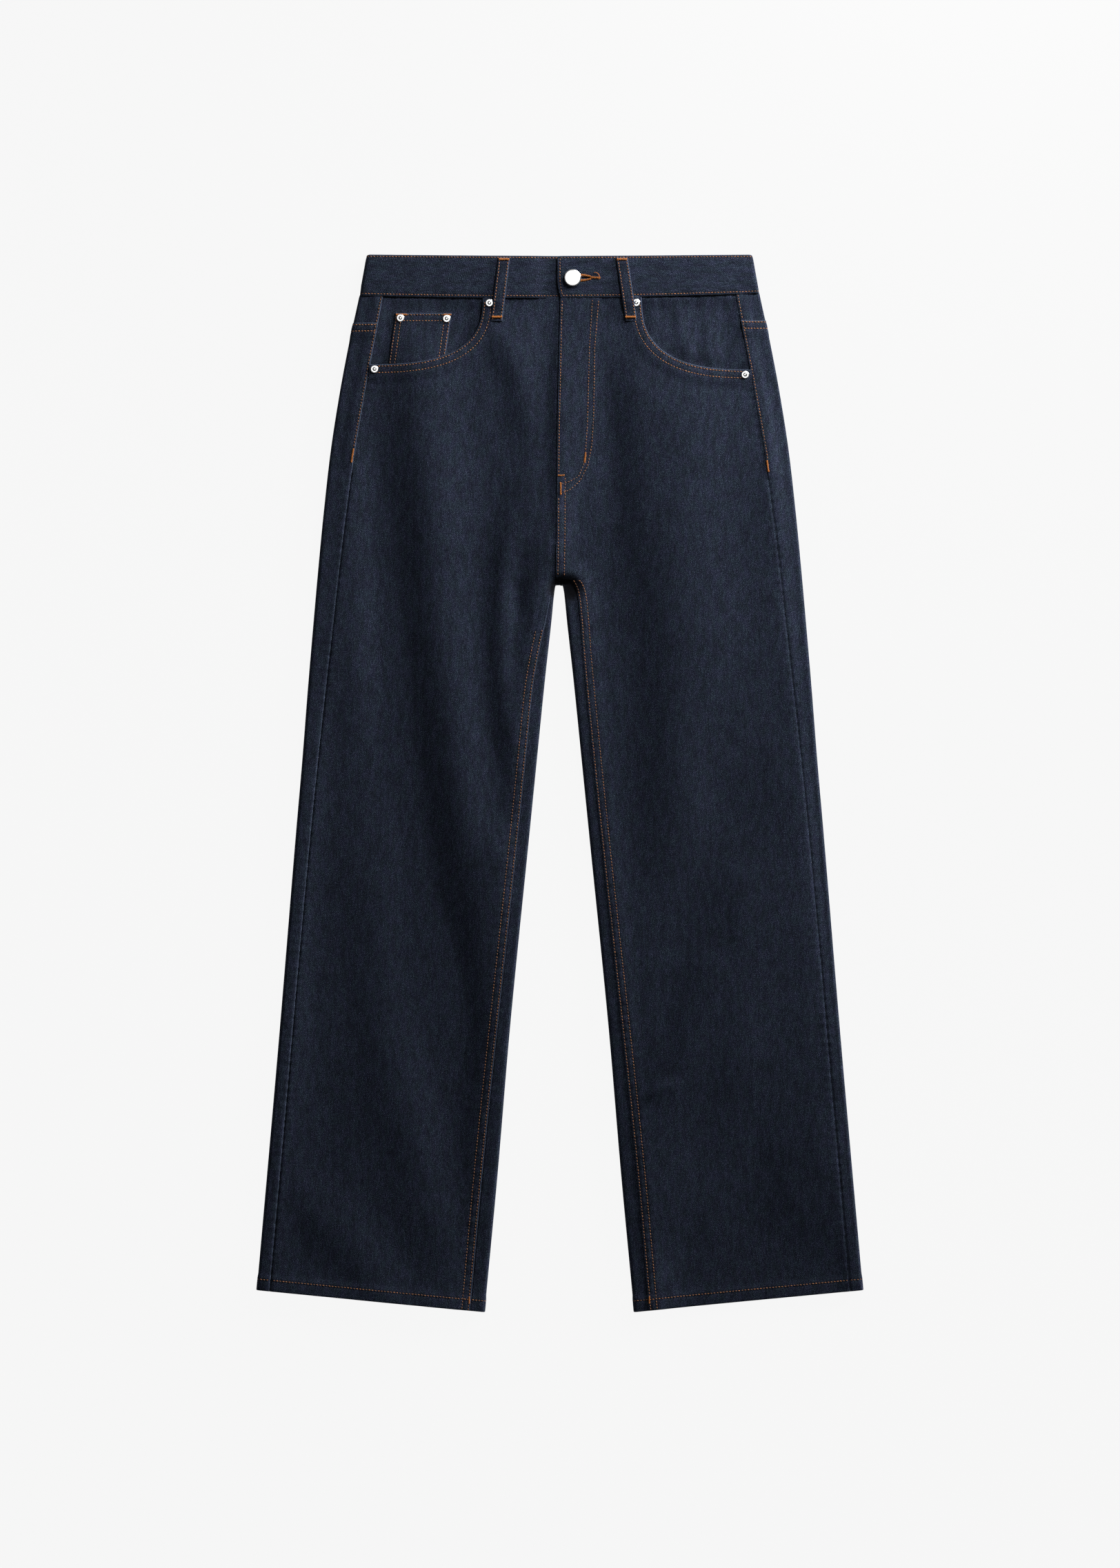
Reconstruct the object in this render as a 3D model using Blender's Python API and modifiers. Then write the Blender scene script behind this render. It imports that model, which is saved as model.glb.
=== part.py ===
"""Straight leg jeans laid flat with the front up: each cut piece of cloth is one closed solid.

Lengths are in millimetres until a mesh is made. "Drop" is how far a point lies below the waist's
top edge, x is measured from the centre line, positive on the wearer's left, and z is up from the
table. Every cloth piece is a sheet lofted through rows of points that lie on the garment's outer
face, and Solidify adds the wall on the inside.
"""

import math

import bmesh
import bpy
import numpy as np

MM = 0.001

# Driving sizes of the garment.
LENGTH = 1042.4             # waist edge to the lowest point of the hem
SIDE_LENGTH = 1020.7        # waist edge to the hem at the side
WALL = 1.1                  # one layer of denim
BAND_WALL = 1.9             # the waistband's two layers with their interfacing
GAP = 0.3                   # between pieces, at seams and where one lies on another
LAP = WALL + GAP            # how far a layer lies above the one under it

# Heights of the layers above the table.
LIFT = LAP                  # the seat rests on the patch pockets, the waist on its belt loops
LIFT_END, LIFT_GONE = 278.0, 312.0
BAND_TOP = 7.7

# The waist.
WAIST_HALF = 197.0          # half the width at the waistband's lower seam
BAND_END = -2.0             # x of the lapping end, on top
BAND_UNDER_END = 38.0       # x of the end that it covers
BAND_SINK_X = (-30.0, -7.0)     # where that end goes down to pass under
FLY_UNDERLAP = 8.0
FLY_DROP, FLY_CLOSED = 204.0, 229.0     # where the underlap starts to narrow, and where it is gone
FLY_SINK_X = (-36.0, -18.0)             # where the right front goes down to pass under the fly
FLY_SINK_DROP = (233.0, 292.0)          # and where it comes up again, below the fly
YOKE_SIDE, YOKE_CENTRE = 66.5, 108.0
CENTRE_SEAM = 0.15          # half the gap of the seat seam
SEAT_DROP = 318.0           # where the seat seam ends
CROTCH_DROP = 320.2         # the fronts' lowest edge at the centre

# How many cells the sheets have.
FRONT_CELLS, UNDER_CELLS, STRIP_CELLS, FOLD_CELLS = 14, 5, 2, 5
WAIST_CELLS = 5             # of the front's, those along the waistband
LEG_ROWS = 17

LEFT, RIGHT = 1, -1
SIDES = {LEFT: "left", RIGHT: "right"}


def table(columns, *rows):
    """A short table as a numpy record array, its columns named."""
    return np.array(list(rows), dtype=[(name, float) for name in columns.split()])


# The flat outline: the side fold from the centre line, how far the back wraps over it to the side
# seam, and the inner fold of the leg.
OUTER = table(
    "drop half wrap",
    (0, 189.5, 23.0),
    (20, 193.1, 23.2),
    (41, 197.2, 23.5),
    (88, 207.4, 25.0),
    (143, 217.6, 25.0),
    (197, 225.8, 24.0),
    (252, 232.0, 22.6),
    (306, 237.3, 21.2),
    (360, 242.1, 20.0),
    (428, 247.9, 18.0),
    (496, 253.2, 15.8),
    (564, 259.1, 14.8),
    (768, 276.0, 13.0),
    (1045, 300.4, 12.8),
)
INNER = table(
    "drop half",
    (321, 0.15),
    (324.4, 0.3),
    (325.4, 3.4),
    (333, 4.8),
    (360, 7.5),
    (415, 13.6),
    (496, 21.8),
    (564, 28.6),
    (768, 49.0),
    (904, 60.5),
    (1045, 73.8),
)
INSEAM = table(
    "drop half",
    (320, 12.0),
    (325.4, 15.2),
    (331, 17.2),
    (342, 19.0),
    (400, 23.6),
    (545, 37.6),
    (904, 75.5),
    (1045, 88.2),
)
FLY_EDGE = table("drop x", (41, 1.0), (137, -1.4), (216, -2.4), (273, -2.7), (321, -3.4))

# Height of the front's outer face in the middle of a panel and at the folds.
HEIGHTS = table(
    "drop middle fold",
    (0, 6.9, 6.9),
    (125, 6.9, 6.9),
    (200, 5.7, 6.9),
    (278, 5.1, 6.8),
    (325, 4.0, 6.2),
    (420, 3.3, 6.0),
    (1045, 3.3, 5.8),
)
OUTER_SPREAD, INNER_SPREAD = 22.0, 15.0    # how far the folds' height reaches into a panel

# The largest creases of the fronts, as soft ridges: two ends, how far the middle bows towards +x,
# the crest's height, and how wide the slopes are towards -x and +x.
CREASES = table(
    "x0 drop0 x1 drop1 bow height minus plus",
    (-140, 110, -70, 720, -3, 2.5, 18, 28),
    (-46, 285, -42, 540, 3, 1.7, 12, 16),
    (88, 115, 114, 700, -4, 2.4, 24, 30),
    (84, 806, 148, 700, 0, 1.2, 12, 14),
    (-186, 650, -106, 1015, -5, 1.6, 20, 28),
    (-264, 905, -176, 1010, -3, 1.3, 14, 18),
    (226, 830, 236, 975, 0, 1.2, 16, 20),
)

# The leg's rows: the drop at the inner fold and at the side fold. The rest follow to the hem.
CROTCH_ROWS = table(
    "inner outer",
    (321.4, 325.0),
    (324.4, 331.0),
    (325.4, 338.0),
    (331.0, 346.0),
    (342.0, 358.0),
    (362.0, 378.0),
)
HIP_DROPS = (200.0, 230.0, 260.0, 278.0, 295.0, 312.0)

# Front pocket openings: a superellipse that starts at the waistband and ends at the side seam.
SCOOP_TOP = {LEFT: 81.0, RIGHT: 75.5}
SCOOP_DEPTH = {LEFT: 113.2, RIGHT: 108.0}
SCOOP_POWER = 2.7
FRONT_BLEND_DROP = 172.0    # above this the front's rows bend to follow the opening
FRONT_BLEND = (1.0, 0.76, 0.5, 0.25)    # how far each of those rows has bent
YOKE_TO_HIP = (0, 0.18, 0.36, 0.56, 0.78)   # the back's rows between the yoke and the hip
FACING_TUCK = 6.0           # how far the facing reaches under the waistband and the back
FACING_REACH = 13.0         # and past the opening's edge, under the front
FACING_SINK = (43.0, 52.0)  # where the right one goes down by a layer, below the waistband

COIN = table("drop outer inner", (57.3, -161.4, -106.1), (122.0, -170.4, -115.4))

# Patch pockets on the seat.
POCKET_CENTRE, POCKET_TOP_WIDTH, POCKET_LOW_WIDTH = 112.0, 150.0, 126.0
POCKET_DROP, POCKET_SIDE, POCKET_POINT = 123.0, 135.0, 17.0

# Belt loops: the centre of each at its top and at its foot.
LOOP_WIDTH, LOOP_TOP, LOOP_FOOT, LOOP_BOW = 11.4, 2.9, 65.6, 1.2
LOOPS_FRONT = {"left": (61.5, 70.9), "right": (-54.2, -61.8)}
LOOPS_BACK = {"side_left": 128.0, "side_right": -128.0, "back": 0.0}
BAND_STEP_START, BAND_STEP_END = 45.0, 60.0   # where a loop comes down from band to panel

# Metal.
RIVETS = table(
    "x drop sunk",
    (76.0, 47.2, 0),
    (183.3, 118.2, 0),
    (-68.8, 47.4, 0),
    (-182.0, 112.7, 0),
    (-156.5, 62.2, LAP),
    (-110.9, 62.8, LAP),
)
RIVET_NAMES = ("left_top", "left_side", "right_top", "right_side", "coin_outer", "coin_inner")
RIVET_PROFILE = table(
    "radius height",
    (0, 1.35), (1.1, 1.2), (1.9, 0.6), (2.7, 0.95), (3.3, 0.85), (3.55, 0.4), (3.55, 0), (0, 0),
)
BUTTON_X, BUTTON_DROP = 13.3, 22.7
SHANK_FOOT = -BAND_WALL - GAP   # the shank's end, on the band's covered end
BUTTON_PROFILE = table(
    "radius height",
    (0, 3.0), (4.2, 2.9), (6.2, 2.65), (7.4, 2.25), (8.1, 1.6), (8.4, 0.9), (8.1, 0.25), (7.4, 0),
    (1.5, 0), (1.5, SHANK_FOOT), (0, SHANK_FOOT),
)
BUTTON_STEPS, RIVET_STEPS = 24, 12
EYE_RADIUS = 1.9                # the buttonhole's round end, about the shank
SLIT_HALF, SLIT_START, SLIT_END = 0.5, 3.4, 18.0


# ------------------------------------------------------------------------------ curves and heights
def along(rows, column, drop):
    """A table's column at a drop, on a smooth curve that never swings past its rows."""
    x, y = rows["drop"], rows[column]
    secant = np.diff(y) / np.diff(x)
    before, after = secant[:-1], secant[1:]
    total = np.where(before * after > 0, before + after, 1.0)
    inner = np.where(before * after > 0, 2 * before * after / total, 0.0)
    slope = np.concatenate([secant[:1], inner, secant[-1:]])
    i = np.clip(np.searchsorted(x, drop) - 1, 0, len(x) - 2)
    step = x[i + 1] - x[i]
    t = np.clip((drop - x[i]) / step, 0, 1)
    rise = t * t * (3 - 2 * t)
    return (y[i] + (y[i + 1] - y[i]) * rise
            + step * (slope[i] * t * (1 - t) ** 2 - slope[i + 1] * t * t * (1 - t)))


def smooth(value, start, end):
    """0 before start, 1 after end, a soft step between; start may be the larger."""
    t = np.clip((value - start) / (end - start), 0, 1)
    return t * t * (3 - 2 * t)


def side_fold(drop):
    return along(OUTER, "half", drop)


def side_seam(drop):
    return side_fold(drop) - along(OUTER, "wrap", drop)


def inner_fold(drop):
    return along(INNER, "half", drop)


def inseam(drop):
    return along(INSEAM, "half", drop)


def fly_edge(drop):
    return along(FLY_EDGE, "x", drop)


def underside(drop):
    """Height of the back's outer face, which comes down to the table below the patch pockets."""
    return LIFT * (1 - smooth(drop, LIFT_END, LIFT_GONE))


def fold_radius(drop):
    """Outer radius of the cloth where it turns from the underside to the top."""
    return (along(HEIGHTS, "fold", drop) - underside(drop)) / 2


def crease_height(x, drop):
    """Sum of the ridges: each is a bell across its bowed crest line and fades to both ends."""
    total = np.zeros(np.broadcast(x, drop).shape)
    for crease in CREASES:
        run = np.array([crease["x1"] - crease["x0"], crease["drop1"] - crease["drop0"]])
        length = np.hypot(*run)
        run /= length
        dx, dd = x - crease["x0"], drop - crease["drop0"]
        t = np.clip((dx * run[0] + dd * run[1]) / length, 0, 1)
        across = dx * run[1] - dd * run[0] - crease["bow"] * 4 * t * (1 - t)
        width = np.where(across < 0, crease["minus"], crease["plus"])
        total = total + crease["height"] * (4 * t * (1 - t)) * np.exp(-((across / width) ** 2))
    return total


def top_height(x, drop):
    """Height of the outer face on top: the folds' height at the edges, then the panel's own."""
    x, drop = np.broadcast_arrays(np.asarray(x, float), np.asarray(drop, float))
    middle = along(HEIGHTS, "middle", drop)
    fold = along(HEIGHTS, "fold", drop)
    radius = fold_radius(drop)
    from_side = np.maximum(side_fold(drop) - radius - abs(x), 0)
    gap_top = INNER["drop"][2]
    beside = np.maximum(abs(x) - inner_fold(np.maximum(drop, gap_top)), 0)
    from_gap = np.maximum(np.hypot(beside, np.maximum(gap_top - drop, 0)) - radius, 0)
    inside = 1 - np.exp(-((from_side / OUTER_SPREAD) ** 2))
    inside = inside * (1 - np.exp(-((from_gap / INNER_SPREAD) ** 2)))
    return fold + (middle + crease_height(x, drop) - fold) * inside


def waist_edge(x):
    """Drop of the waistband's top edge, which dips a little at the centre."""
    return 2.4 * (1 - (np.asarray(x) / 193) ** 2)


def waist_seam(x):
    """Drop of the waistband's lower seam."""
    x = np.asarray(x, float)
    return 39.2 + 3.4 * (1 - (x / 197) ** 2) - 0.006 * x


def yoke_seam(x, on_top):
    """Drop of the yoke's lower seam: level on top and over the side, lower towards the centre back."""
    level_until = side_fold(YOKE_SIDE) - fold_radius(YOKE_SIDE)
    towards_centre = np.clip(1 - abs(np.asarray(x, float)) / level_until, 0, 1)
    return YOKE_SIDE + (0 if on_top else YOKE_CENTRE - YOKE_SIDE) * towards_centre


def points(x, drop, z):
    """World points in millimetres, the last axis x, y, z."""
    x, drop, z = np.broadcast_arrays(x, drop, z)
    return np.stack([x, LENGTH / 2 - drop, z], axis=-1).astype(float)


# ------------------------------------------------------------------------------ meshes and objects
def material(name, colour, roughness, metallic):
    made = bpy.data.materials.new(name)
    made.use_nodes = True
    shader = made.node_tree.nodes["Principled BSDF"]
    shader.inputs["Base Color"].default_value = (*colour, 1)
    shader.inputs["Roughness"].default_value = roughness
    shader.inputs["Metallic"].default_value = metallic
    return made


def keep(name, mesh, finish, collection):
    made = bpy.data.objects.new(name, mesh)
    made.data.materials.append(finish)
    collection.objects.link(made)
    return made


def sheet(name, rows, wall, finish, collection, faces_up=True):
    """A wall of cloth. Its outer face is lofted through the rows of points, its first cell facing
    up or down as told, and Solidify adds the wall inside."""
    rows = np.asarray(rows)
    index = np.arange(rows.shape[0] * rows.shape[1]).reshape(rows.shape[:2])
    corners = (index[:-1, :-1], index[:-1, 1:], index[1:, 1:], index[1:, :-1])
    quads = np.stack(corners, axis=-1).reshape(-1, 4)
    normal = np.cross(rows[0, 1] - rows[0, 0], rows[1, 0] - rows[0, 0])
    if (normal[2] > 0) != faces_up:
        quads = quads[:, ::-1]
    mesh = bpy.data.meshes.new(name)
    mesh.from_pydata((rows.reshape(-1, 3) * MM).tolist(), [], quads.tolist())
    made = keep(name, mesh, finish, collection)
    solidify = made.modifiers.new("wall", "SOLIDIFY")
    solidify.thickness = wall * MM
    solidify.offset = -1
    return made


def turned(name, profile, steps, at, finish, collection):
    """A round piece: its profile runs from the top of the axis down the outer side and back."""
    mesh = bpy.data.meshes.new(name)
    mesh.from_pydata(
        [(radius * MM, 0, height * MM) for radius, height in profile],
        [(i, i + 1) for i in range(len(profile) - 1)],
        [],
    )
    made = keep(name, mesh, finish, collection)
    made.location = [value * MM for value in at]
    screw = made.modifiers.new("turn", "SCREW")
    screw.angle = math.tau
    screw.steps = screw.render_steps = steps
    screw.use_merge_vertices = True
    screw.merge_threshold = 0.00002
    screw.use_smooth_shade = True
    return made


# ------------------------------------------------------------------------------ the leg's rows
def leg_rows():
    """Drop at the inner fold and at the side fold of each row from the crotch to the hem."""
    start = CROTCH_ROWS[-1]
    share = np.linspace(0, 1, LEG_ROWS)[1:]
    inner = start["inner"] + (LENGTH - start["inner"]) * share
    outer = start["outer"] + (SIDE_LENGTH - start["outer"]) * share
    return list(CROTCH_ROWS["inner"]) + list(inner), list(CROTCH_ROWS["outer"]) + list(outer)


def slanted(x, inner_drop, outer_drop):
    """Drop at x on a leg's row, a straight line from its inner fold to its side fold."""
    low, high = inner_fold(inner_drop), side_fold(outer_drop)
    return inner_drop + (outer_drop - inner_drop) * (x - low) / (high - low)


# ------------------------------------------------------------------------------ the fronts
def scoop(side, share):
    """A point of the pocket opening: 0 at the waistband, 1 at the side seam."""
    x_end, drop_end = side_seam(SCOOP_DEPTH[side]), SCOOP_DEPTH[side]
    width = x_end - SCOOP_TOP[side]
    depth = drop_end - waist_seam(side * SCOOP_TOP[side]) - GAP
    angle = share * math.pi / 2
    power = 2 / SCOOP_POWER
    return (x_end - width * np.cos(angle) ** power, drop_end - depth + depth * np.sin(angle) ** power)


def front_inner_edge(side, drop):
    """x of a front's centre edge. The left one's is the fly's edge, and the right one reaches under
    it as far as the fly goes."""
    edge = fly_edge(drop)
    if side == LEFT:
        return edge
    return edge - GAP + (FLY_UNDERLAP + GAP) * (1 - smooth(drop, FLY_DROP, FLY_CLOSED))


def front_height(side, x, drop):
    """The right front's centre edge is sunk by one layer, under the left one's fly."""
    height = top_height(x, drop)
    if side == LEFT:
        return height
    return height - LAP * smooth(x, *FLY_SINK_X) * (1 - smooth(drop, *FLY_SINK_DROP))


def front_top_edge(side):
    """x and drop of the front's upper edge: along the waistband, then down the pocket opening."""
    waist = np.linspace(front_inner_edge(side, 43.0), side * SCOOP_TOP[side], WAIST_CELLS + 1)
    around = np.linspace(0, 1, FRONT_CELLS - WAIST_CELLS + 1)[1:]
    scoop_x, scoop_drop = scoop(side, around)
    x = np.concatenate([waist, side * scoop_x])
    drop = np.concatenate([waist_seam(waist) + GAP, scoop_drop])
    return x, drop


def front(side, finish, collection):
    across = np.linspace(0, 1, FRONT_CELLS + 1)
    top_x, top_drop = front_top_edge(side)
    rows = []

    def level_row(drop):
        low, high = front_inner_edge(side, drop), side * side_seam(drop)
        return low + (high - low) * across, np.full(FRONT_CELLS + 1, drop)

    low_x, low_drop = level_row(FRONT_BLEND_DROP)
    for share in FRONT_BLEND:
        drop = low_drop + (top_drop - low_drop) * share
        x = low_x + (top_x - low_x) * share
        x[0], x[-1] = front_inner_edge(side, drop[0]), side * side_seam(drop[-1])
        rows.append((x, drop))
    rows.append((low_x, low_drop))
    for drop in (*HIP_DROPS, CROTCH_DROP - 0.6):
        rows.append(level_row(drop))
    for i, (inner_drop, outer_drop) in enumerate(zip(*leg_rows())):
        if i == 0:
            inner_drop = CROTCH_DROP
        low, high = inseam(inner_drop), side_seam(outer_drop)
        x = low + (high - low) * across
        rows.append((side * x, slanted(x, inner_drop, outer_drop)))
    made = [points(x, drop, front_height(side, x, drop)) for x, drop in rows]
    sheet("front_" + SIDES[side], made, WALL, finish, collection)


# ------------------------------------------------------------------------------ the backs and yokes
def wrapped_side(x_drop, fold_drop, side):
    """The part of a row that lies on top and turns over the side fold, from the side seam on.
    x_drop gives the row's drop at an x, on top or underneath."""
    half, radius, low = side_fold(fold_drop), fold_radius(fold_drop), underside(fold_drop)
    strip = np.linspace(side_seam(fold_drop) + GAP, half - radius, STRIP_CELLS + 1)[:-1]
    turn = np.linspace(math.pi / 2, -math.pi / 2, FOLD_CELLS + 1)
    x = half - radius + radius * np.cos(turn)
    drop = x_drop(strip, True)
    on_top = points(side * strip, drop, top_height(strip * side, drop))
    over = points(side * x, x_drop(x, True), low + radius + radius * np.sin(turn))
    return np.concatenate([on_top, over])


def flat_row(x_drop, fold_drop, side):
    """A row of the seat: round the side fold, then along the underside to the seat seam."""
    first = wrapped_side(x_drop, fold_drop, side)
    start = abs(first[-1, 0])
    turned_up = math.pi * fold_radius(SEAT_DROP) + 9.0
    near = np.linspace(turned_up, CENTRE_SEAM, FOLD_CELLS + STRIP_CELLS + 1)
    far = np.linspace(start, turned_up, UNDER_CELLS + 1)[1:-1]
    x = np.concatenate([far, near])
    drop = x_drop(x, False)
    return np.concatenate([first, points(side * x, drop, underside(drop))])


def leg_row(inner_drop, outer_drop, side):
    """A row of the leg: round the side fold, underneath, and round the inner fold to the inseam."""
    def x_drop(x, on_top=False):
        return slanted(x, inner_drop, outer_drop)

    first = wrapped_side(x_drop, outer_drop, side)
    start = abs(first[-1, 0])
    half, radius, low = inner_fold(inner_drop), fold_radius(inner_drop), underside(inner_drop)
    turn = np.linspace(-math.pi / 2, -3 * math.pi / 2, FOLD_CELLS + 1)
    around = half + radius + radius * np.cos(turn)
    beneath = np.linspace(start, half + radius, UNDER_CELLS + 1)[1:-1]
    strip = np.linspace(half + radius, inseam(inner_drop) - GAP, STRIP_CELLS + 1)[1:]
    return np.concatenate([
        first,
        points(side * beneath, x_drop(beneath), underside(x_drop(beneath))),
        points(side * around, x_drop(around), low + radius + radius * np.sin(turn)),
        points(side * strip, x_drop(strip), top_height(side * strip, x_drop(strip))),
    ])


def back(side, finish, collection):
    rows = []
    first_level = HIP_DROPS[0]
    for share in YOKE_TO_HIP:
        def x_drop(x, on_top):
            seam = yoke_seam(x, on_top) + GAP / 2
            return seam + (first_level - seam) * share

        rows.append(flat_row(x_drop, x_drop(0.0, True), side))
    for drop in (*HIP_DROPS, SEAT_DROP):
        rows.append(flat_row(lambda x, on_top: np.full(np.shape(x), drop), drop, side))
    for inner_drop, outer_drop in zip(*leg_rows()):
        rows.append(leg_row(inner_drop, outer_drop, side))
    sheet("back_" + SIDES[side], rows, WALL, finish, collection)


def yoke(side, finish, collection):
    rows = []
    for share in np.linspace(0, 1, 4):
        def x_drop(x, on_top):
            top = waist_seam(side * np.asarray(x)) + GAP
            return top + (yoke_seam(x, on_top) - GAP / 2 - top) * share

        rows.append(flat_row(x_drop, x_drop(WAIST_HALF, True), side))
    sheet("yoke_" + SIDES[side], rows, WALL, finish, collection)


# ------------------------------------------------------------------------------ the waistband
def waistband_row(share):
    """One line round the waistband, from its lapping end over the left side, along the underside,
    and back over the right side to the end that lies beneath."""
    radius = (BAND_TOP - LIFT) / 2
    turn = np.linspace(math.pi / 2, -math.pi / 2, FOLD_CELLS + 1)
    edge = waist_edge(189.0) + (waist_seam(196.0) - waist_edge(189.0)) * share
    half = side_fold(edge)
    inside = half - radius
    dive = np.linspace(*BAND_SINK_X, 4)
    beneath = np.linspace(BAND_SINK_X[1], BAND_UNDER_END, 5)[1:]
    right_top = np.concatenate([np.linspace(-inside, BAND_SINK_X[0], 8)[:-1], dive, beneath])
    x = np.concatenate([
        np.linspace(BAND_END, inside, 10)[:-1],
        inside + radius * np.cos(turn),
        np.linspace(inside, -inside, 14)[1:-1],
        -inside - radius * np.cos(turn[::-1]),
        right_top[1:],
    ])
    z = np.concatenate([
        np.full(9, BAND_TOP),
        LIFT + radius + radius * np.sin(turn),
        np.full(12, LIFT),
        LIFT + radius + radius * np.sin(turn[::-1]),
        BAND_TOP - (BAND_WALL + GAP) * smooth(right_top[1:], *BAND_SINK_X),
    ])
    drop = waist_edge(x) + (waist_seam(x) - waist_edge(x)) * share
    return points(x, drop, z)


def buttonhole_cutter(collection):
    """A keyhole prism that reaches through the lapping end of the band alone."""
    shape = bmesh.new()
    turn = np.linspace(0.5 * math.pi, 1.5 * math.pi, 9)
    outline = [(EYE_RADIUS * math.cos(a), EYE_RADIUS * math.sin(a)) for a in turn]
    outline += [(SLIT_START, -SLIT_HALF), (SLIT_END, -SLIT_HALF)]
    outline += [(SLIT_END, SLIT_HALF), (SLIT_START, SLIT_HALF)]
    low = BAND_TOP - BAND_WALL - GAP / 2
    face = shape.faces.new([shape.verts.new((x * MM, y * MM, low * MM)) for x, y in outline])
    raised = bmesh.ops.extrude_face_region(shape, geom=[face])["geom"]
    bmesh.ops.translate(
        shape,
        verts=[v for v in raised if isinstance(v, bmesh.types.BMVert)],
        vec=(0, 0, (BAND_WALL + 2) * MM),
    )
    bmesh.ops.recalc_face_normals(shape, faces=shape.faces)
    mesh = bpy.data.meshes.new("buttonhole_cutter")
    shape.to_mesh(mesh)
    shape.free()
    cutter = bpy.data.objects.new("buttonhole_cutter", mesh)
    cutter.location = (BUTTON_X * MM, (LENGTH / 2 - BUTTON_DROP) * MM, 0)
    cutter.hide_render = True
    cutter.display_type = "WIRE"
    collection.objects.link(cutter)
    return cutter


def waistband(finish, collection, cutters):
    rows = [waistband_row(share) for share in (0, 0.5, 1)]
    made = sheet("waistband", rows, BAND_WALL, finish, collection)
    cut = made.modifiers.new("buttonhole", "BOOLEAN")
    cut.operation = "DIFFERENCE"
    cut.object = buttonhole_cutter(cutters)


# ------------------------------------------------------------------------------ what is sewn on
def facing(side, finish, collection):
    """The cloth that shows inside a front pocket's opening. The right one lies a layer lower, for
    the coin pocket."""
    rows = []
    for share in np.linspace(0, 1, 6):
        inner = SCOOP_TOP[side] - FACING_REACH
        top = waist_seam(side * inner) - FACING_TUCK
        drop = top + (SCOOP_DEPTH[side] + FACING_REACH - top) * share
        x = side * np.linspace(inner, side_seam(drop) + FACING_TUCK, 7)
        sunk = LAP if side == LEFT else LAP + LAP * smooth(drop, *FACING_SINK)
        rows.append(points(x, drop, top_height(x, drop) - sunk))
    sheet("pocket_facing_" + SIDES[side], rows, WALL, finish, collection)


def coin_pocket(finish, collection):
    rows = []
    for share in np.linspace(0, 1, 5):
        top, low = COIN
        drop = top["drop"] + (low["drop"] - top["drop"]) * share
        ends = [top[end] + (low[end] - top[end]) * share for end in ("outer", "inner")]
        x = np.linspace(*ends, 4)
        rows.append(points(x, drop, top_height(x, drop) - LAP))
    sheet("coin_pocket", rows, WALL, finish, collection)


def back_pocket(side, finish, collection):
    """A patch pocket with a pointed foot, under the seat and flat on the table."""
    across = np.linspace(-0.5, 0.5, 5)
    rows = []
    for share in np.linspace(0, 1, 4):
        width = POCKET_TOP_WIDTH + (POCKET_LOW_WIDTH - POCKET_TOP_WIDTH) * share
        point = POCKET_POINT * (1 - 2 * abs(across)) * share
        drop = POCKET_DROP + POCKET_SIDE * share + point
        rows.append(points(side * POCKET_CENTRE + width * across, drop, 0))
    sheet("back_pocket_" + SIDES[side], rows, WALL, finish, collection, faces_up=False)


def front_loop(name, top_x, foot_x, finish, collection):
    """A belt loop over the waistband, bowed up a little, sewn down at its top and at its foot."""
    rows = []
    for share in np.linspace(0, 1, 9):
        drop = LOOP_TOP + (LOOP_FOOT - LOOP_TOP) * share
        centre = top_x + (foot_x - top_x) * share
        x = np.linspace(centre - LOOP_WIDTH / 2, centre + LOOP_WIDTH / 2, 3)
        panel = top_height(centre, drop)
        under = BAND_TOP + (panel - BAND_TOP) * smooth(drop, BAND_STEP_START, BAND_STEP_END)
        rows.append(points(x, drop, under + LAP + LOOP_BOW * math.sin(math.pi * share)))
    sheet(name, rows, WALL, finish, collection)


def back_loop(name, centre, finish, collection):
    rows = []
    for drop in np.linspace(LOOP_TOP, LOOP_FOOT, 3):
        rows.append(points(np.linspace(centre - LOOP_WIDTH / 2, centre + LOOP_WIDTH / 2, 3), drop, 0))
    sheet(name, rows, WALL, finish, collection, faces_up=False)


def rivets(finish, collection):
    profile = list(zip(RIVET_PROFILE["radius"], RIVET_PROFILE["height"]))
    for name, row in zip(RIVET_NAMES, RIVETS):
        seat = top_height(row["x"], row["drop"]) - row["sunk"] + GAP
        at = (row["x"], LENGTH / 2 - row["drop"], float(seat))
        turned("rivet_" + name, profile, RIVET_STEPS, at, finish, collection)


def button(finish, collection):
    """A tack button: a domed cap with a rolled rim, and its shank through the buttonhole's eye."""
    profile = list(zip(BUTTON_PROFILE["radius"], BUTTON_PROFILE["height"]))
    at = (BUTTON_X, LENGTH / 2 - BUTTON_DROP, BAND_TOP + GAP)
    turned("button", profile, BUTTON_STEPS, at, finish, collection)


def main():
    for old in list(bpy.data.objects):
        bpy.data.objects.remove(old, do_unlink=True)
    scene = bpy.context.scene
    jeans = bpy.data.collections.new("straight_leg_jeans")
    cutters = bpy.data.collections.new("cutters")
    scene.collection.children.link(jeans)
    scene.collection.children.link(cutters)
    denim = material("denim", (0.018, 0.026, 0.042), 0.85, 0.0)
    metal = material("metal", (0.72, 0.71, 0.69), 0.28, 1.0)

    for side in (LEFT, RIGHT):
        front(side, denim, jeans)
        back(side, denim, jeans)
        yoke(side, denim, jeans)
        facing(side, denim, jeans)
        back_pocket(side, denim, jeans)
    coin_pocket(denim, jeans)
    waistband(denim, jeans, cutters)
    for name, (top_x, foot_x) in LOOPS_FRONT.items():
        front_loop("belt_loop_front_" + name, top_x, foot_x, denim, jeans)
    for name, centre in LOOPS_BACK.items():
        back_loop("belt_loop_" + name, centre, denim, jeans)
    rivets(metal, jeans)
    button(metal, jeans)


main()
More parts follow.
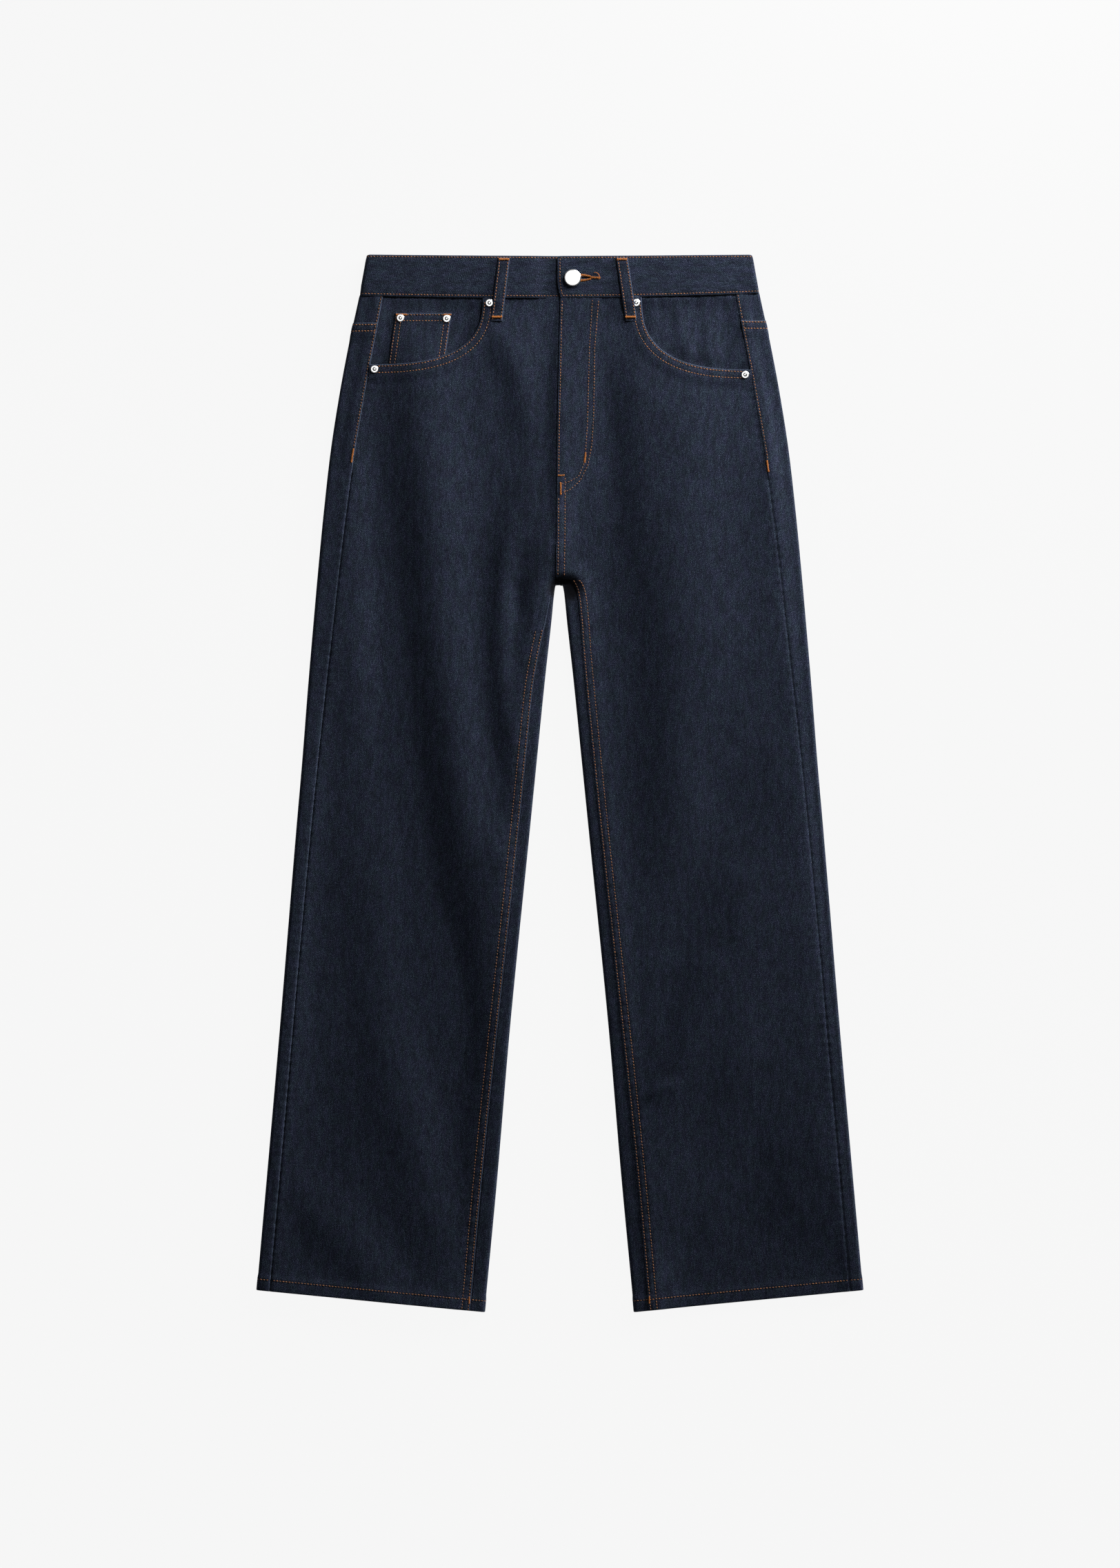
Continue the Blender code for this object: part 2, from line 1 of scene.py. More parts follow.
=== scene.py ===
"""Straight leg jeans laid flat with the front up: denim shells, topstitching, metal and a studio.

Lengths are in millimetres until a mesh is made. "Drop" is how far a point lies below the waist's
top edge, x is measured from the centre line, positive on the wearer's left, and z is up from the
table. A cloth piece is a grid of points on the garment's outer face, worked out from two
parameters, with a Solidify wall inside. Its rows and columns are close together near an edge, so
that lines of stitches follow them.
"""

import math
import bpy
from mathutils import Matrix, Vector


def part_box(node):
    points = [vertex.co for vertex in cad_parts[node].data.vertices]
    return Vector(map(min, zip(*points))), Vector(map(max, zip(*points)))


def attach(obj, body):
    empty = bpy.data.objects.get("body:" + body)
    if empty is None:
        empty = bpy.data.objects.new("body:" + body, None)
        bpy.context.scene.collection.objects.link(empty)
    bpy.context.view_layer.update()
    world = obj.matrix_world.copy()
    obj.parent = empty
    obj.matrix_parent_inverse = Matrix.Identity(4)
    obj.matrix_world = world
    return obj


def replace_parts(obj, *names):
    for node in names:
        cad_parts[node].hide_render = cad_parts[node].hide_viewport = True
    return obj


bl_info = {
    "name": "Straight leg jeans",
    "version": (1, 0, 0),
    "blender": (4, 5, 0),
    "location": "View3D > Sidebar > Jeans",
    "description": "Straight leg jeans laid flat, with their stitching, metal and studio",
    "category": "Object",
}

import bpy
import mathutils
import numpy as np
from bpy.props import FloatProperty, FloatVectorProperty, PointerProperty

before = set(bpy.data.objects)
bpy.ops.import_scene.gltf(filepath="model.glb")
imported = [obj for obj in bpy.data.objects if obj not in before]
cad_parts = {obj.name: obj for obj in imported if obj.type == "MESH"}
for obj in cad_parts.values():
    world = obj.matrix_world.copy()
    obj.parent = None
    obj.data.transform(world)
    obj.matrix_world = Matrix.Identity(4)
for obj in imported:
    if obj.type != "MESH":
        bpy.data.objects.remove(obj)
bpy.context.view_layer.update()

MM = 0.001
LEFT, RIGHT = 1, -1
UP, DOWN = (0, 0, 1), (0, 0, -1)

# Driving sizes of the garment.
LENGTH = 1042.4  # waist edge to the lowest point of the hem
SIDE_LENGTH = 1020.7  # waist edge to the hem at the side
LEFT_SPREAD = 1.0045  # the left half lies wider by this share
WALL = 1.1  # one layer of denim
BAND_WALL = 1.9  # the waistband's two layers with their interfacing
GAP = 0.3  # between two layers
LAP = WALL + GAP  # how far a layer lies above the one under it
RISE = 1.25  # how far a lapped edge stands above the panel that it covers
RISE_FADES = (8.6, 21.0)  # distances from the edge between which it comes down to the panel
INSEAM_RISE = {LEFT: 0.7, RIGHT: 0.35}  # the same for the inseams and the side seams
SIDE_RISE = 0.9
TUCK = 1.5  # how far the covered edge reaches under it
BAND_TUCK = 1.4  # how far the panels reach into the waistband

# Heights of the outer faces above the table.
LIFT = LAP  # the seat, which lies on the patch pockets
LIFT_END, LIFT_GONE = 278.0, 312.0  # drops between which the seat comes down to the table
BAND_TOP = 7.9  # the waistband on top

# The waistband. Its top edge dips at the centre by a power of x, its seam by a parabola that leans.
WAIST_HALF = 197.0
EDGE_DROP, EDGE_RISE, EDGE_HALF, EDGE_POWER = 1.0, 1.3, 190.0, 1.5
SEAM_DROP, SEAM_SAG, SEAM_LEAN = 39.2, 3.4, 0.006
BAND_HEIGHT = 38.6  # from its top edge to its seam
BAND_END = -2.0  # x of the end that laps over
BAND_UNDER_END = 38.0  # x of the covered end
BAND_SINK_X = (-30.0, -7.0)  # between these it sinks below the lapping end
BAND_SINK = BAND_WALL + GAP
EDGE_FOLD, SEAM_FOLD = 189.0, 196.0  # |x| of its two edges where it turns over
BAND_CORNER, BAND_SHOULDER = (3.0, 3.0), (1.8, 1.6)  # rounding of its free corner and folded sides
BAND_MIDDLE = 20.0  # drop between its edges

# The fly, the yokes, the seat and the crotch.
FLY_UNDERLAP = 6.0  # how far the right front reaches under the fly
FLY_DROP, FLY_CLOSED = 204.0, 240.0  # drops between which that reach ends
FLY_SINK_X = (-36.0, -16.0)  # the right front sinks below the fly between these
FLY_SINK_DROP = (225.0, 262.0)
FLY_SINK, FLY_RAISE = 0.85, 0.55  # how far it sinks, and how high the fly's facing stands
FLY_DOUBLE_DROP = (214.0, 220.0)  # the fly's edge has two rows of stitches from here on
INSEAM_LOWERS = (345.0, 380.0)  # the left edge comes down to the inseam's rise here
ROLLED_RISE_X, ROLLED_RISE_DROP = (6.0, 13.0), (372.0, 380.0)  # the right edge's rise starts here
YOKE_SIDE = {LEFT: 64.3, RIGHT: 67.0}  # drops of the yoke's lower seam
YOKE_CENTRE = 108.0
YOKE_ROWS = 19
CENTRE_SEAM = -0.3  # x of the seat seam
BACK_BLEND_DROP = 200.0  # the back's rows are level from here on
SEAT_LAP_DROP = (256.0, 280.0)  # the seat seam's lap fades out here, where the seat comes down
SEAT_DROP = 318.0  # the seat's last row
CORNER_DROP = 319.6  # where the fly's edge turns towards the inseam
CROTCH_DROP = 320.8  # the legs' first row

SIDES = {LEFT: "left", RIGHT: "right"}


def table(columns, *rows):
    """A short table as a numpy record array, its columns named."""
    return np.array(list(rows), dtype=[(name, float) for name in columns.split()])


# The flat outline: the side fold from the centre line, how far the back wraps over it to the side
# seam, and the inner fold of the leg.
OUTER = table(
    "drop half wrap",
    (0, 189.5, 23.0),
    (20, 193.1, 23.2),
    (41, 197.2, 23.5),
    (88, 207.4, 25.0),
    (143, 217.6, 25.0),
    (197, 225.8, 24.0),
    (252, 232.0, 22.6),
    (306, 237.3, 21.2),
    (360, 242.1, 20.0),
    (428, 247.9, 18.0),
    (496, 253.2, 15.8),
    (564, 259.1, 14.8),
    (768, 276.0, 13.0),
    (1045, 300.4, 12.8),
)
INNER = table(
    "drop half",
    (321, -0.4),
    (324.4, -0.3),
    (325.4, 3.4),
    (333, 4.8),
    (360, 7.5),
    (415, 13.6),
    (496, 21.8),
    (564, 28.6),
    (768, 49.0),
    (904, 60.5),
    (1045, 73.8),
)
INSEAM = table(
    "drop half",
    (320, 12.0),
    (325.4, 15.2),
    (331, 17.2),
    (342, 19.0),
    (400, 23.6),
    (545, 37.6),
    (904, 75.5),
    (1045, 88.2),
)
INSEAM_ROLLED = (310.0, 440.0)  # above this the right inseam has rolled into the leg's fold
FLY_EDGE = table("drop x", (41, 1.0), (137, -1.4), (216, -2.4), (273, -2.7), (321, -3.4))

# Height of the front's outer face in the middle of a panel and at the folds.
HEIGHTS = table(
    "drop middle fold",
    (0, 6.9, 6.9),
    (125, 6.9, 6.9),
    (200, 5.5, 6.9),
    (278, 4.3, 6.9),
    (325, 3.4, 6.7),
    (420, 3.5, 6.3),
    (1045, 5.4, 5.9),
)
OUTER_SPREAD = {LEFT: 12.5, RIGHT: 17.7}  # how far from a fold the panel has its own height
INNER_SPREAD = {LEFT: 21.3, RIGHT: 21.6}
RESTING = 2.6  # how high the top layer is where it rests on the one underneath
SETTLING = 0.25  # how softly it comes to rest there
HIP_DIP, HIP_DIP_X, HIP_DIP_DROP = 1.3, (135.0, 200.0), (120.0, 260.0)  # lower at the left hip
# The sunk hollow round the top of the gap between the legs: its middle, half sizes and depth,
# and how strongly painted shade darkens its colour.
HOLLOW_X, HOLLOW_DROP = 5.0, 329.0
HOLLOW_ACROSS, HOLLOW_DOWN = 15.5, 13.0
HOLLOW_DEPTH, HOLLOW_SHADE = 3.6, 1.6

# Creases as soft ridges, or troughs where the height is negative: two ends, how far the middle bows
# towards +x, the crest's height, and how wide the slopes are towards -x and +x.
CREASES = table(
    "x0 drop0 x1 drop1 bow height minus plus",
    (-135, -105, -34, 851, -35.4, 5.5, 31.9, 33.6),
    (-188, -21, -96, 920, -4.8, -2.5, 32.3, 42.6),
    (-43, 214, -42, 541, -13.9, 3.4, 12, 14.2),
    (11, 168, -52, 620, -2.8, 5.5, 17.8, 16),
    (-69, -8, -6, 256, -0.2, 2.2, 14.9, 31.5),
    (-22, 175, -36, 344, 0.3, 2.6, 21.3, 23.2),
    (-72, 30, -57, 131, 1.8, 1.2, 8.3, 18),
    (71, 13, 90, 377, 5, 3, 22.1, 49.2),
    (102, 187, 115, 687, 3.5, 5.3, 35.7, 38.4),
    (44, 74, 48, 331, 4.6, -1.4, 12.4, 13.6),
    (151, 633, 108, 868, 4.2, 2.5, 23.6, 25.5),
    (75, 841, 122, 813, 3.9, 1.2, 6.1, 6.6),
    (-194, 492, -169, 888, 3.6, 0.7, 27.1, 23.2),
    (-183, 694, -80, 1142, -3, 1.5, 28, 25),
    (-280, 888, -121, 1074, -3.5, 1.9, 24.5, 27),
    (243, 815, 273, 1022, 8.3, 2, 25.6, 32.5),
    (178, 901, 182, 1143, 0.5, -2.5, 29.5, 38.8),
    (216, 78, 227, 478, 3.7, 4.4, 47.4, 26.2),
    (126, 51, 169, 558, -0.1, 4.5, 42, 45.3),
    (-208, 92, -210, 546, 4.6, 2.8, 41.3, 23.1),
    (118, 40, 128, 110, 2, 1.3, 7, 9),
    (152, 44, 146, 116, -2, 1.2, 7, 10),
    (-96, 44, -76, 74, 1, 0.7, 4, 6),
    (-128, 44, -96, 54, 1, 0.6, 4, 5),
    (223, 274, 261, 998, 7.4, 4.4, 72.6, 52.7),
    (185, 527, 160, 913, 1.1, 3.3, 33.5, 40.6),
    (-240, 596, -264, 1019, -0.5, 0.8, 10.9, 21.7),
    (-102, 603, -107, 977, 2, -1.4, 31.8, 18.4),
    (86, 537, 106, 1002, 0.6, 1.2, 18.1, 36.1),
    (218, 835, 238, 985, 1.6, 0.9, 19.5, 22.3),
    (129, 928, 142, 1113, -2.4, -2.5, 34.2, 31.2),
    (250, 598, 276, 1091, -3.7, -1.8, 95, 20.2),
    (-231, 568, -256, 1052, 2.1, -1.9, 25.8, 88.9),
    (-59, 545, -39, 689, 6.6, 4, 24.5, 15.8),
    (-2, 20, -3, 300, 0, 1.8, 3.5, 24),
    (5, 150, 116, 1300, 0, 1.5, 15, 32),
    (-370, 1032, 20, 1072, 0, 2.6, 20, 34),
    (-44, 312, -37, 368, 0, -1.6, 8, 8),
)
CREASE_START = (42.0, 105.0)  # the waistband holds the cloth flat down to here
CREASE_FADE = 0.38  # the share of a crease's length over which each end fades
UNDER_SHARE = 0.36  # how much of a crease's height shows underneath

# Soft undulations: height, size across and down, and seed of the noise.
RIPPLES = ((0.34, 38.0, 115.0, 3), (0.17, 15.0, 42.0, 5), (0.06, 6.5, 12.0, 8))
# Puckers along the seams: share of the set height, distance of their crests from the seam, wave
# length, distance over which they fade, and seed.
PUCKERS = {
    "side": (1.2, 0.0, 8.6, 5.5, 11),
    "inseam": (1.0, 5.0, 9.4, 8.0, 12),
    "fly": (1.0, 4.0, 10.5, 6.0, 13),
    "waist": (1.0, 3.0, 11.5, 5.0, 14),
    "hem": (1.3, 5.0, 8.2, 7.0, 15),
    "band_seam": (1.0, 2.0, 9.5, 7.0, 31),
    "band_edge": (0.8, 2.0, 10.5, 6.0, 32),
}

# The leg's rows: the drop at the inner fold and at the side fold. The rest follow to the hem.
CROTCH_ROWS = table(
    "inner outer",
    (321.4, 325.0),
    (324.4, 331.0),
    (325.4, 338.0),
    (331.0, 346.0),
    (342.0, 358.0),
    (362.0, 378.0),
)

# Front pocket openings.
SCOOP_TOP = {LEFT: 81.0, RIGHT: 75.5}  # |x| at the waist
SCOOP_DEPTH = {LEFT: 113.2, RIGHT: 108.0}  # drop at the side seam
SCOOP_POWER = 2.7
SCOOP_REACH = 190.0  # nothing below this drop lies near an opening
FRONT_BLEND_DROP = 172.0  # the fronts' rows are level from here on
FACING_TUCK, FACING_REACH = 6.0, 13.0  # beyond the side seam, and beyond the opening
FACING_SINK = 1.1  # how far the facing hangs below the seams that hold it
COIN = table("drop outer inner", (57.3, -161.4, -106.1), (122.0, -170.4, -115.4))
COIN_SINK = (106.0, 115.0)  # the coin pocket goes under the front's edge here

# Patch pockets on the seat.
POCKET_CENTRE, POCKET_TOP_WIDTH, POCKET_LOW_WIDTH = 112.0, 150.0, 126.0
POCKET_DROP, POCKET_SIDE, POCKET_POINT = 123.0, 135.0, 17.0

# Belt loops: x at the top and at the foot of those in front, x of those at the back.
LOOP_WIDTH, LOOP_TOP, LOOP_FOOT, LOOP_BOW = 11.4, 2.9, 65.6, 1.2
LOOPS_FRONT = {"left": (61.5, 70.9), "right": (-54.2, -61.8)}
LOOPS_BACK = {"side_left": 128.0, "side_right": -128.0, "back": 0.0}
BAND_STEP = (45.0, 60.0)  # drops between which a loop comes down from the band to the panel

# Distances from an edge at which the grids have a row or column. Stitches follow some of them.
STITCH_IN, STITCH_OUT, STITCH_HEM = 1.9, 8.2, 11.0
DOUBLE = (0, 0.3, 0.8, 1.3, STITCH_IN, 2.5, 4.8, 7.0, 7.6, STITCH_OUT, 8.8, 11.0)
SINGLE = (0, 0.3, 0.8, 1.3, STITCH_IN, 2.5, 4.5, 7.5)
COVERED = (0, 0.6, 1.3, 2.2, 4.0)
HEM = (0, 0.3, 0.8, 1.8, 4.0, 7.0, 10.3, STITCH_HEM, 11.7, 13.5, 16.0)
BAND_LOW = (0, 0.3, 0.8, 1.6, 2.4, 3.2, 5.0)
BAND_FREE = (0, 0.3, 0.8, 1.3, 1.9, 2.7, 3.6, 5.0, 8.0)
COIN_SIDE = (0, 0.3, 0.8, 1.4, 2.0, 4.0, 5.5, 6.1, 6.7, 8.0)
LOOP_SIDE = (0, 0.3, 0.8, 1.6, 2.4, 4.0, 5.7)
LOOP_ENDS = (0, 0.3, 0.8, 1.6, 2.6, 4)
# Which of these places, counted from 0, carry stitches.
INNER_LINE, OUTER_LINE, HEM_LINE, BAND_LINE, FREE_LINE = 4, 9, 7, 4, 5
COIN_TOP_LINE, COIN_LINES, LOOP_LINE = 8, (3, 7), 3
# Shares of the thread's lighter colour along a row.
BRIGHT, MIXED, RUST, DULL = (0.4, 1.1), (0.1, 0.85), (0.0, 0.6), (0.0, 0.4)

# Relief along the seams: sizes, and distances from the edge.
FAR = 60.0  # stands for a distance at which an edge has no relief
ROLL = 0.8  # radius of a rolled edge
GROOVE, GROOVE_HALF = 0.2, 0.6  # what a row of stitches presses in, and its half width
PUFF, PUFF_AT, PUFF_HALF = 0.15, 5.3, 1.9  # the swelling between two rows
SHOULDER, SHOULDER_AT, SHOULDER_HALF = 0.2, 3.2, 3.4  # the allowance of a plain seam
SEAM_GROOVE, SEAM_GROOVE_HALF = 0.42, 0.9  # and the seam itself
SINGLE_REACH, SINGLE_FADE = 7.5, 6.0  # where an edge with one row comes down
HEM_RISE, HEM_REACH = 0.5, 11.4

# How many cells the grids have besides: across a front along the waist and along its pocket
# opening, round a fold, underneath, and in the strips between fold and seam.
WAIST_CELLS, SCOOP_CELLS = 18, 30
TURN_CELLS, BENEATH_CELLS, STRIP_CELLS, INNER_CELLS = 10, 26, 5, 4
BLEND_ROWS, LEVEL_ROWS, CORNER_ROWS, CROTCH_SPLIT, LEG_ROWS = 48, 60, 9, 3, 300

# Bartacks: drops of those that end the side seams' topstitching and of those on the belt loops, and
# the two ends, as x and drop, of those on the fly, with their width, and on the coin pocket.
SIDE_TACK = {LEFT: (202.8, 214.2), RIGHT: (191.0, 204.7)}
LOOP_TACKS = (4.6, 61.4)
FLY_TACKS = (
    ((25.9, 195.0), (24.8, 205.2), 2.0),
    ((-1.4, 217.6), (5.6, 217.6), 1.8),
    ((1.2, 224.5), (1.6, 236.5), 1.9),
)
COIN_TACKS = (((-161.0, 58.9), (-150.2, 58.9)), ((-114.2, 59.0), (-106.4, 59.0)))
SEAM_CHANGE = 12.0  # the lapped seam turns into a plain one over this drop
RIGHT_INSEAM_SHOWS = 369.0  # the right inseam's stitches are seen from here on

# The fly's stitching: the rows along its edge, with the drops where they start and end, and the
# curved double line.
FLY_ROWS = (
    (INNER_LINE, 43.6, 218.0), (INNER_LINE, 237.0, CORNER_DROP), (OUTER_LINE, 218.0, CORNER_DROP),
)
FLY_STITCHES = (
    table("x drop", (32.6, 43.8), (29.6, 92.5), (27.6, 166.6), (25.8, 194), (24.6, 205),
          (19.0, 218.6), (8.8, 224.2), (1.0, 226.4)),
    table("x drop", (38.7, 43.8), (34.7, 92.5), (33.7, 159.8), (32.0, 187), (28.1, 207.4),
          (20.2, 223.0), (11.2, 231.1), (2.0, 235.5)),
)

RIVET_NODES = ("left_top", "left_side", "right_top", "right_side", "coin_outer", "coin_inner")
RIVET_PROFILE = table(
    "radius height",
    (0, 1.45), (0.6, 1.41), (1.1, 1.3), (1.6, 1.12), (1.9, 0.97), (2.1, 0.92), (2.35, 0.97),
    (2.6, 1.0), (3.05, 1.0), (3.4, 0.97), (3.67, 0.8), (3.9, 0.45), (3.95, 0.1), (3.9, -0.3),
    (0, -0.3),
)
BUTTON_PROFILE = table(
    "radius height",
    (0, 2.75), (2.5, 2.74), (5.2, 2.7), (7.0, 2.62), (7.6, 2.54), (7.95, 2.4), (8.2, 2.05),
    (8.38, 1.6), (8.4, 1.1), (8.25, 0.65), (7.9, 0.35), (7.3, 0.25), (2.6, 0.2), (1.7, 0.0),
    (1.5, -1.9), (0, -1.9),
)
BUTTON_STEPS, RIVET_STEPS = 72, 36
BUTTON_X, BUTTON_DROP = 13.3, 22.7
EYE_RADIUS, EYE_CORNER = 1.9, 1.34  # the buttonhole's round end, about the shank
SLIT_HALF, SLIT_END, SLIT_CELLS = 0.5, 18.0, 8
HOLE_CELLS = 5  # cells across the round end, each way
TACK_GRAIN = 0.62  # from one thread of a bartack to the next

# The room and the camera.
FLOOR_HALF, FLOOR_SINK = 15.0, 0.0002  # metres
NEAR_WALLS = 0.92  # brightness of the room near the horizon
FRAME_SHAPE = 2274 / 1624  # height over width of what the camera sees
CAMERA_X, CAMERA_Y = 0.8, -0.4  # millimetres from the middle
SENSOR = 36.0  # its width in millimetres


# ---- settings
COLOUR = {"subtype": "COLOR", "size": 3, "min": 0, "max": 1}


class JeansCloth(bpy.types.PropertyGroup):
    """Colours and relief of the denim."""
    warp: FloatVectorProperty(
        name="Warp", description="Colour of the indigo yarns", **COLOUR,
        default=(0.0034, 0.0053, 0.0125))
    weft: FloatVectorProperty(
        name="Weft", description="Colour of the pale yarns where they show", **COLOUR,
        default=(0.050, 0.063, 0.093))
    inside: FloatVectorProperty(
        name="Inside", description="Colour of the cloth's wrong side", **COLOUR,
        default=(0.20, 0.225, 0.26))
    twill: FloatProperty(
        name="Twill spacing", description="Level distance between two twill lines",
        unit="LENGTH", min=0.0005, max=0.005, precision=5, default=0.00144)
    crease: FloatProperty(
        name="Creases", description="Strength of the large creases", subtype="FACTOR",
        min=0, max=1.5, default=1.12)
    ripple: FloatProperty(
        name="Ripples", description="Strength of the small undulations", subtype="FACTOR",
        min=0, max=2, default=1.0)
    pucker: FloatProperty(
        name="Puckers", description="Height of the puckers along the seams", unit="LENGTH",
        min=0, max=0.001, precision=5, default=0.00022)


class JeansThread(bpy.types.PropertyGroup):
    """Colours and sizes of the sewing thread."""
    rust: FloatVectorProperty(
        name="Rust", description="Darker colour of the topstitching", **COLOUR,
        default=(0.066, 0.036, 0.023))
    tan: FloatVectorProperty(
        name="Tan", description="Lighter colour of the topstitching", **COLOUR,
        default=(0.250, 0.106, 0.044))
    tack: FloatVectorProperty(
        name="Tacks", description="Colour of the bartacks and the buttonhole", **COLOUR,
        default=(0.34, 0.115, 0.024))
    pitch: FloatProperty(
        name="Stitch pitch", description="From one stitch to the next", unit="LENGTH",
        min=0.001, max=0.006, precision=5, default=0.00305)
    length: FloatProperty(
        name="Stitch length", description="How much of a stitch shows", unit="LENGTH",
        min=0.0005, max=0.005, precision=5, default=0.0023)
    thickness: FloatProperty(
        name="Thread", description="Diameter of the topstitching thread", unit="LENGTH",
        min=0.0002, max=0.0015, precision=5, default=0.00092)


class JeansMetal(bpy.types.PropertyGroup):
    """Finish of the button and the rivets."""
    colour: FloatVectorProperty(
        name="Colour", description="Colour of the polished metal", **COLOUR,
        default=(0.88, 0.88, 0.87))
    roughness: FloatProperty(
        name="Roughness", description="Roughness of the polished metal", subtype="FACTOR",
        min=0, max=1, default=0.2)


class JeansStudio(bpy.types.PropertyGroup):
    """The floor, the lights and the camera."""
    floor: FloatProperty(
        name="Floor", description="Brightness of the pale floor", subtype="FACTOR",
        min=0, max=1, default=0.915)
    key: FloatProperty(
        name="Key light", description="Power of the large light at the side", unit="POWER",
        min=0, max=3000, default=640)
    hip: FloatProperty(
        name="Hip light", description="Power of the near light beside the waist", unit="POWER",
        min=0, max=1000, default=20.0)
    card: FloatProperty(
        name="Metal card", description="Power of the card that shows in the metal only",
        unit="POWER", min=0, max=100, default=4.9)
    ambient: FloatProperty(
        name="Ambient", description="Brightness of the room", subtype="FACTOR",
        min=0, max=1, default=0.09)
    distance: FloatProperty(
        name="Camera height", description="Height of the camera above the floor",
        unit="LENGTH", min=1, max=20, default=6.0)
    width: FloatProperty(
        name="Frame width", description="Width of what the camera sees on the floor",
        unit="LENGTH", min=0.2, max=5, default=1.1043)


# ---- curves and heights
def along(rows, column, drop):
    """A table's column at a drop, on a smooth curve that never swings past its rows."""
    x, y = rows["drop"], rows[column]
    secant = np.diff(y) / np.diff(x)
    before, after = secant[:-1], secant[1:]
    total = np.where(before * after > 0, before + after, 1.0)
    inner = np.where(before * after > 0, 2 * before * after / total, 0.0)
    slope = np.concatenate([secant[:1], inner, secant[-1:]])
    i = np.clip(np.searchsorted(x, drop) - 1, 0, len(x) - 2)
    step = x[i + 1] - x[i]
    t = np.clip((drop - x[i]) / step, 0, 1)
    rise = t * t * (3 - 2 * t)
    return (y[i] + (y[i + 1] - y[i]) * rise
            + step * (slope[i] * t * (1 - t) ** 2 - slope[i + 1] * t * t * (1 - t)))


def smooth(value, start, end):
    """0 before start, 1 after end, a soft step between; start may be the larger."""
    t = np.clip((value - start) / (end - start), 0, 1)
    return t * t * (3 - 2 * t)


def noise(x, y, seed):
    """Soft noise from -1 to 1: random values on a unit lattice, blended by soft steps."""
    size = 64
    values = np.random.default_rng(seed).uniform(-1, 1, (size, size))
    x, y = np.broadcast_arrays(np.asarray(x, float), np.asarray(y, float))
    i, j = np.floor(x).astype(int), np.floor(y).astype(int)
    s, t = smooth(x - i, 0, 1), smooth(y - j, 0, 1)

    def row(j):
        return values[i % size, j % size] * (1 - s) + values[(i + 1) % size, j % size] * s

    return row(j) * (1 - t) + row(j + 1) * t


def side_fold(drop):
    """|x| of the garment's outline at a drop."""
    return along(OUTER, "half", drop)


def side_seam(drop):
    """|x| of the side seam, which lies on top, inwards of the fold by the wrap."""
    return side_fold(drop) - along(OUTER, "wrap", drop)


def inner_fold(drop):
    """|x| of the outline between the legs."""
    return along(INNER, "half", drop)


def inseam(side, drop):
    """|x| of the inseam on top. The right one starts in the fold and comes out of it lower down."""
    straight = along(INSEAM, "half", drop)
    if side == LEFT:
        return straight
    rolled = inner_fold(drop) + 1.6
    return rolled + (straight - rolled) * smooth(drop, *INSEAM_ROLLED)


def fly_edge(drop):
    """x of the fly's edge."""
    return along(FLY_EDGE, "x", drop)


def underside(drop):
    """Height of the back's outer face, which comes down to the table below the patch pockets."""
    return LIFT * (1 - smooth(drop, LIFT_END, LIFT_GONE))


def fold_radius(drop):
    """Outer radius of the cloth where it turns from the underside to the top."""
    return (along(HEIGHTS, "fold", drop) - underside(drop)) / 2


def crease_height(x, drop):
    """Sum of the ridges: each is a bell across its bowed crest line and fades to both ends."""
    strength = bpy.context.scene.jeans_cloth.crease
    total = np.zeros(np.broadcast(x, drop).shape)
    for crease in CREASES:
        run = np.array([crease["x1"] - crease["x0"], crease["drop1"] - crease["drop0"]])
        length = np.hypot(*run)
        run /= length
        dx, dd = x - crease["x0"], drop - crease["drop0"]
        t = np.clip((dx * run[0] + dd * run[1]) / length, 0, 1)
        fade = smooth(t, 0, CREASE_FADE) * smooth(t, 1, 1 - CREASE_FADE)
        across = dx * run[1] - dd * run[0] - crease["bow"] * 4 * t * (1 - t)
        width = np.where(across < 0, crease["minus"], crease["plus"])
        total = total + crease["height"] * fade * np.exp(-((across / width) ** 2))
    return total * strength * smooth(drop, *CREASE_START)


def ripple_height(x, drop):
    """Soft noise at three scales, longer down the leg than across it."""
    return bpy.context.scene.jeans_cloth.ripple * sum(
        height * noise(x / across, drop / down, seed) for height, across, down, seed in RIPPLES)


def pucker(seam, run, distance):
    """Waves along a seam, uneven in length and height, that fade with the distance from it."""
    share, crest, wave, reach, seed = PUCKERS[seam]
    height = bpy.context.scene.jeans_cloth.pucker / MM
    phase = run / wave + 0.45 * noise(run / 31, seed, seed)
    swell = 0.65 + 0.35 * noise(run / 47, seed + 9, seed)
    fade = np.exp(-(((distance - crest) / reach) ** 2))
    return share * (height * swell * np.sin(2 * math.pi * phase) * fade)


def seam_puckers(x, drop):
    """Puckers along the side seams, inseams, fly, waist seam and hem, in phase on both pieces."""
    across = abs(x)
    run = drop + np.where(x > 0, 500.0, 0.0)
    below = smooth(drop, 322, 340)
    total = pucker("side", run, across - side_seam(drop))
    total = total + below * pucker("inseam", run, across - along(INSEAM, "half", drop))
    total = total + (1 - below) * pucker("fly", drop, x - fly_edge(drop))
    total = total + pucker("waist", x, drop - waist_seam(x))
    return total + pucker("hem", x + 0.6 * drop, hem_line(x) - drop)


def hollow(x, drop):
    """1 in the sunk hollow round the top of the gap between the legs, 0 away from it."""
    across, down = (x - HOLLOW_X) / HOLLOW_ACROSS, (drop - HOLLOW_DROP) / HOLLOW_DOWN
    return np.exp(-(across ** 2 + down ** 2) ** 2)


def hollow_shade(x, drop):
    """Painted shade: how far the cloth's colour is darkened in the hollow, in place of its shadow.
    """
    return np.minimum(HOLLOW_SHADE * hollow(x, drop), 1)


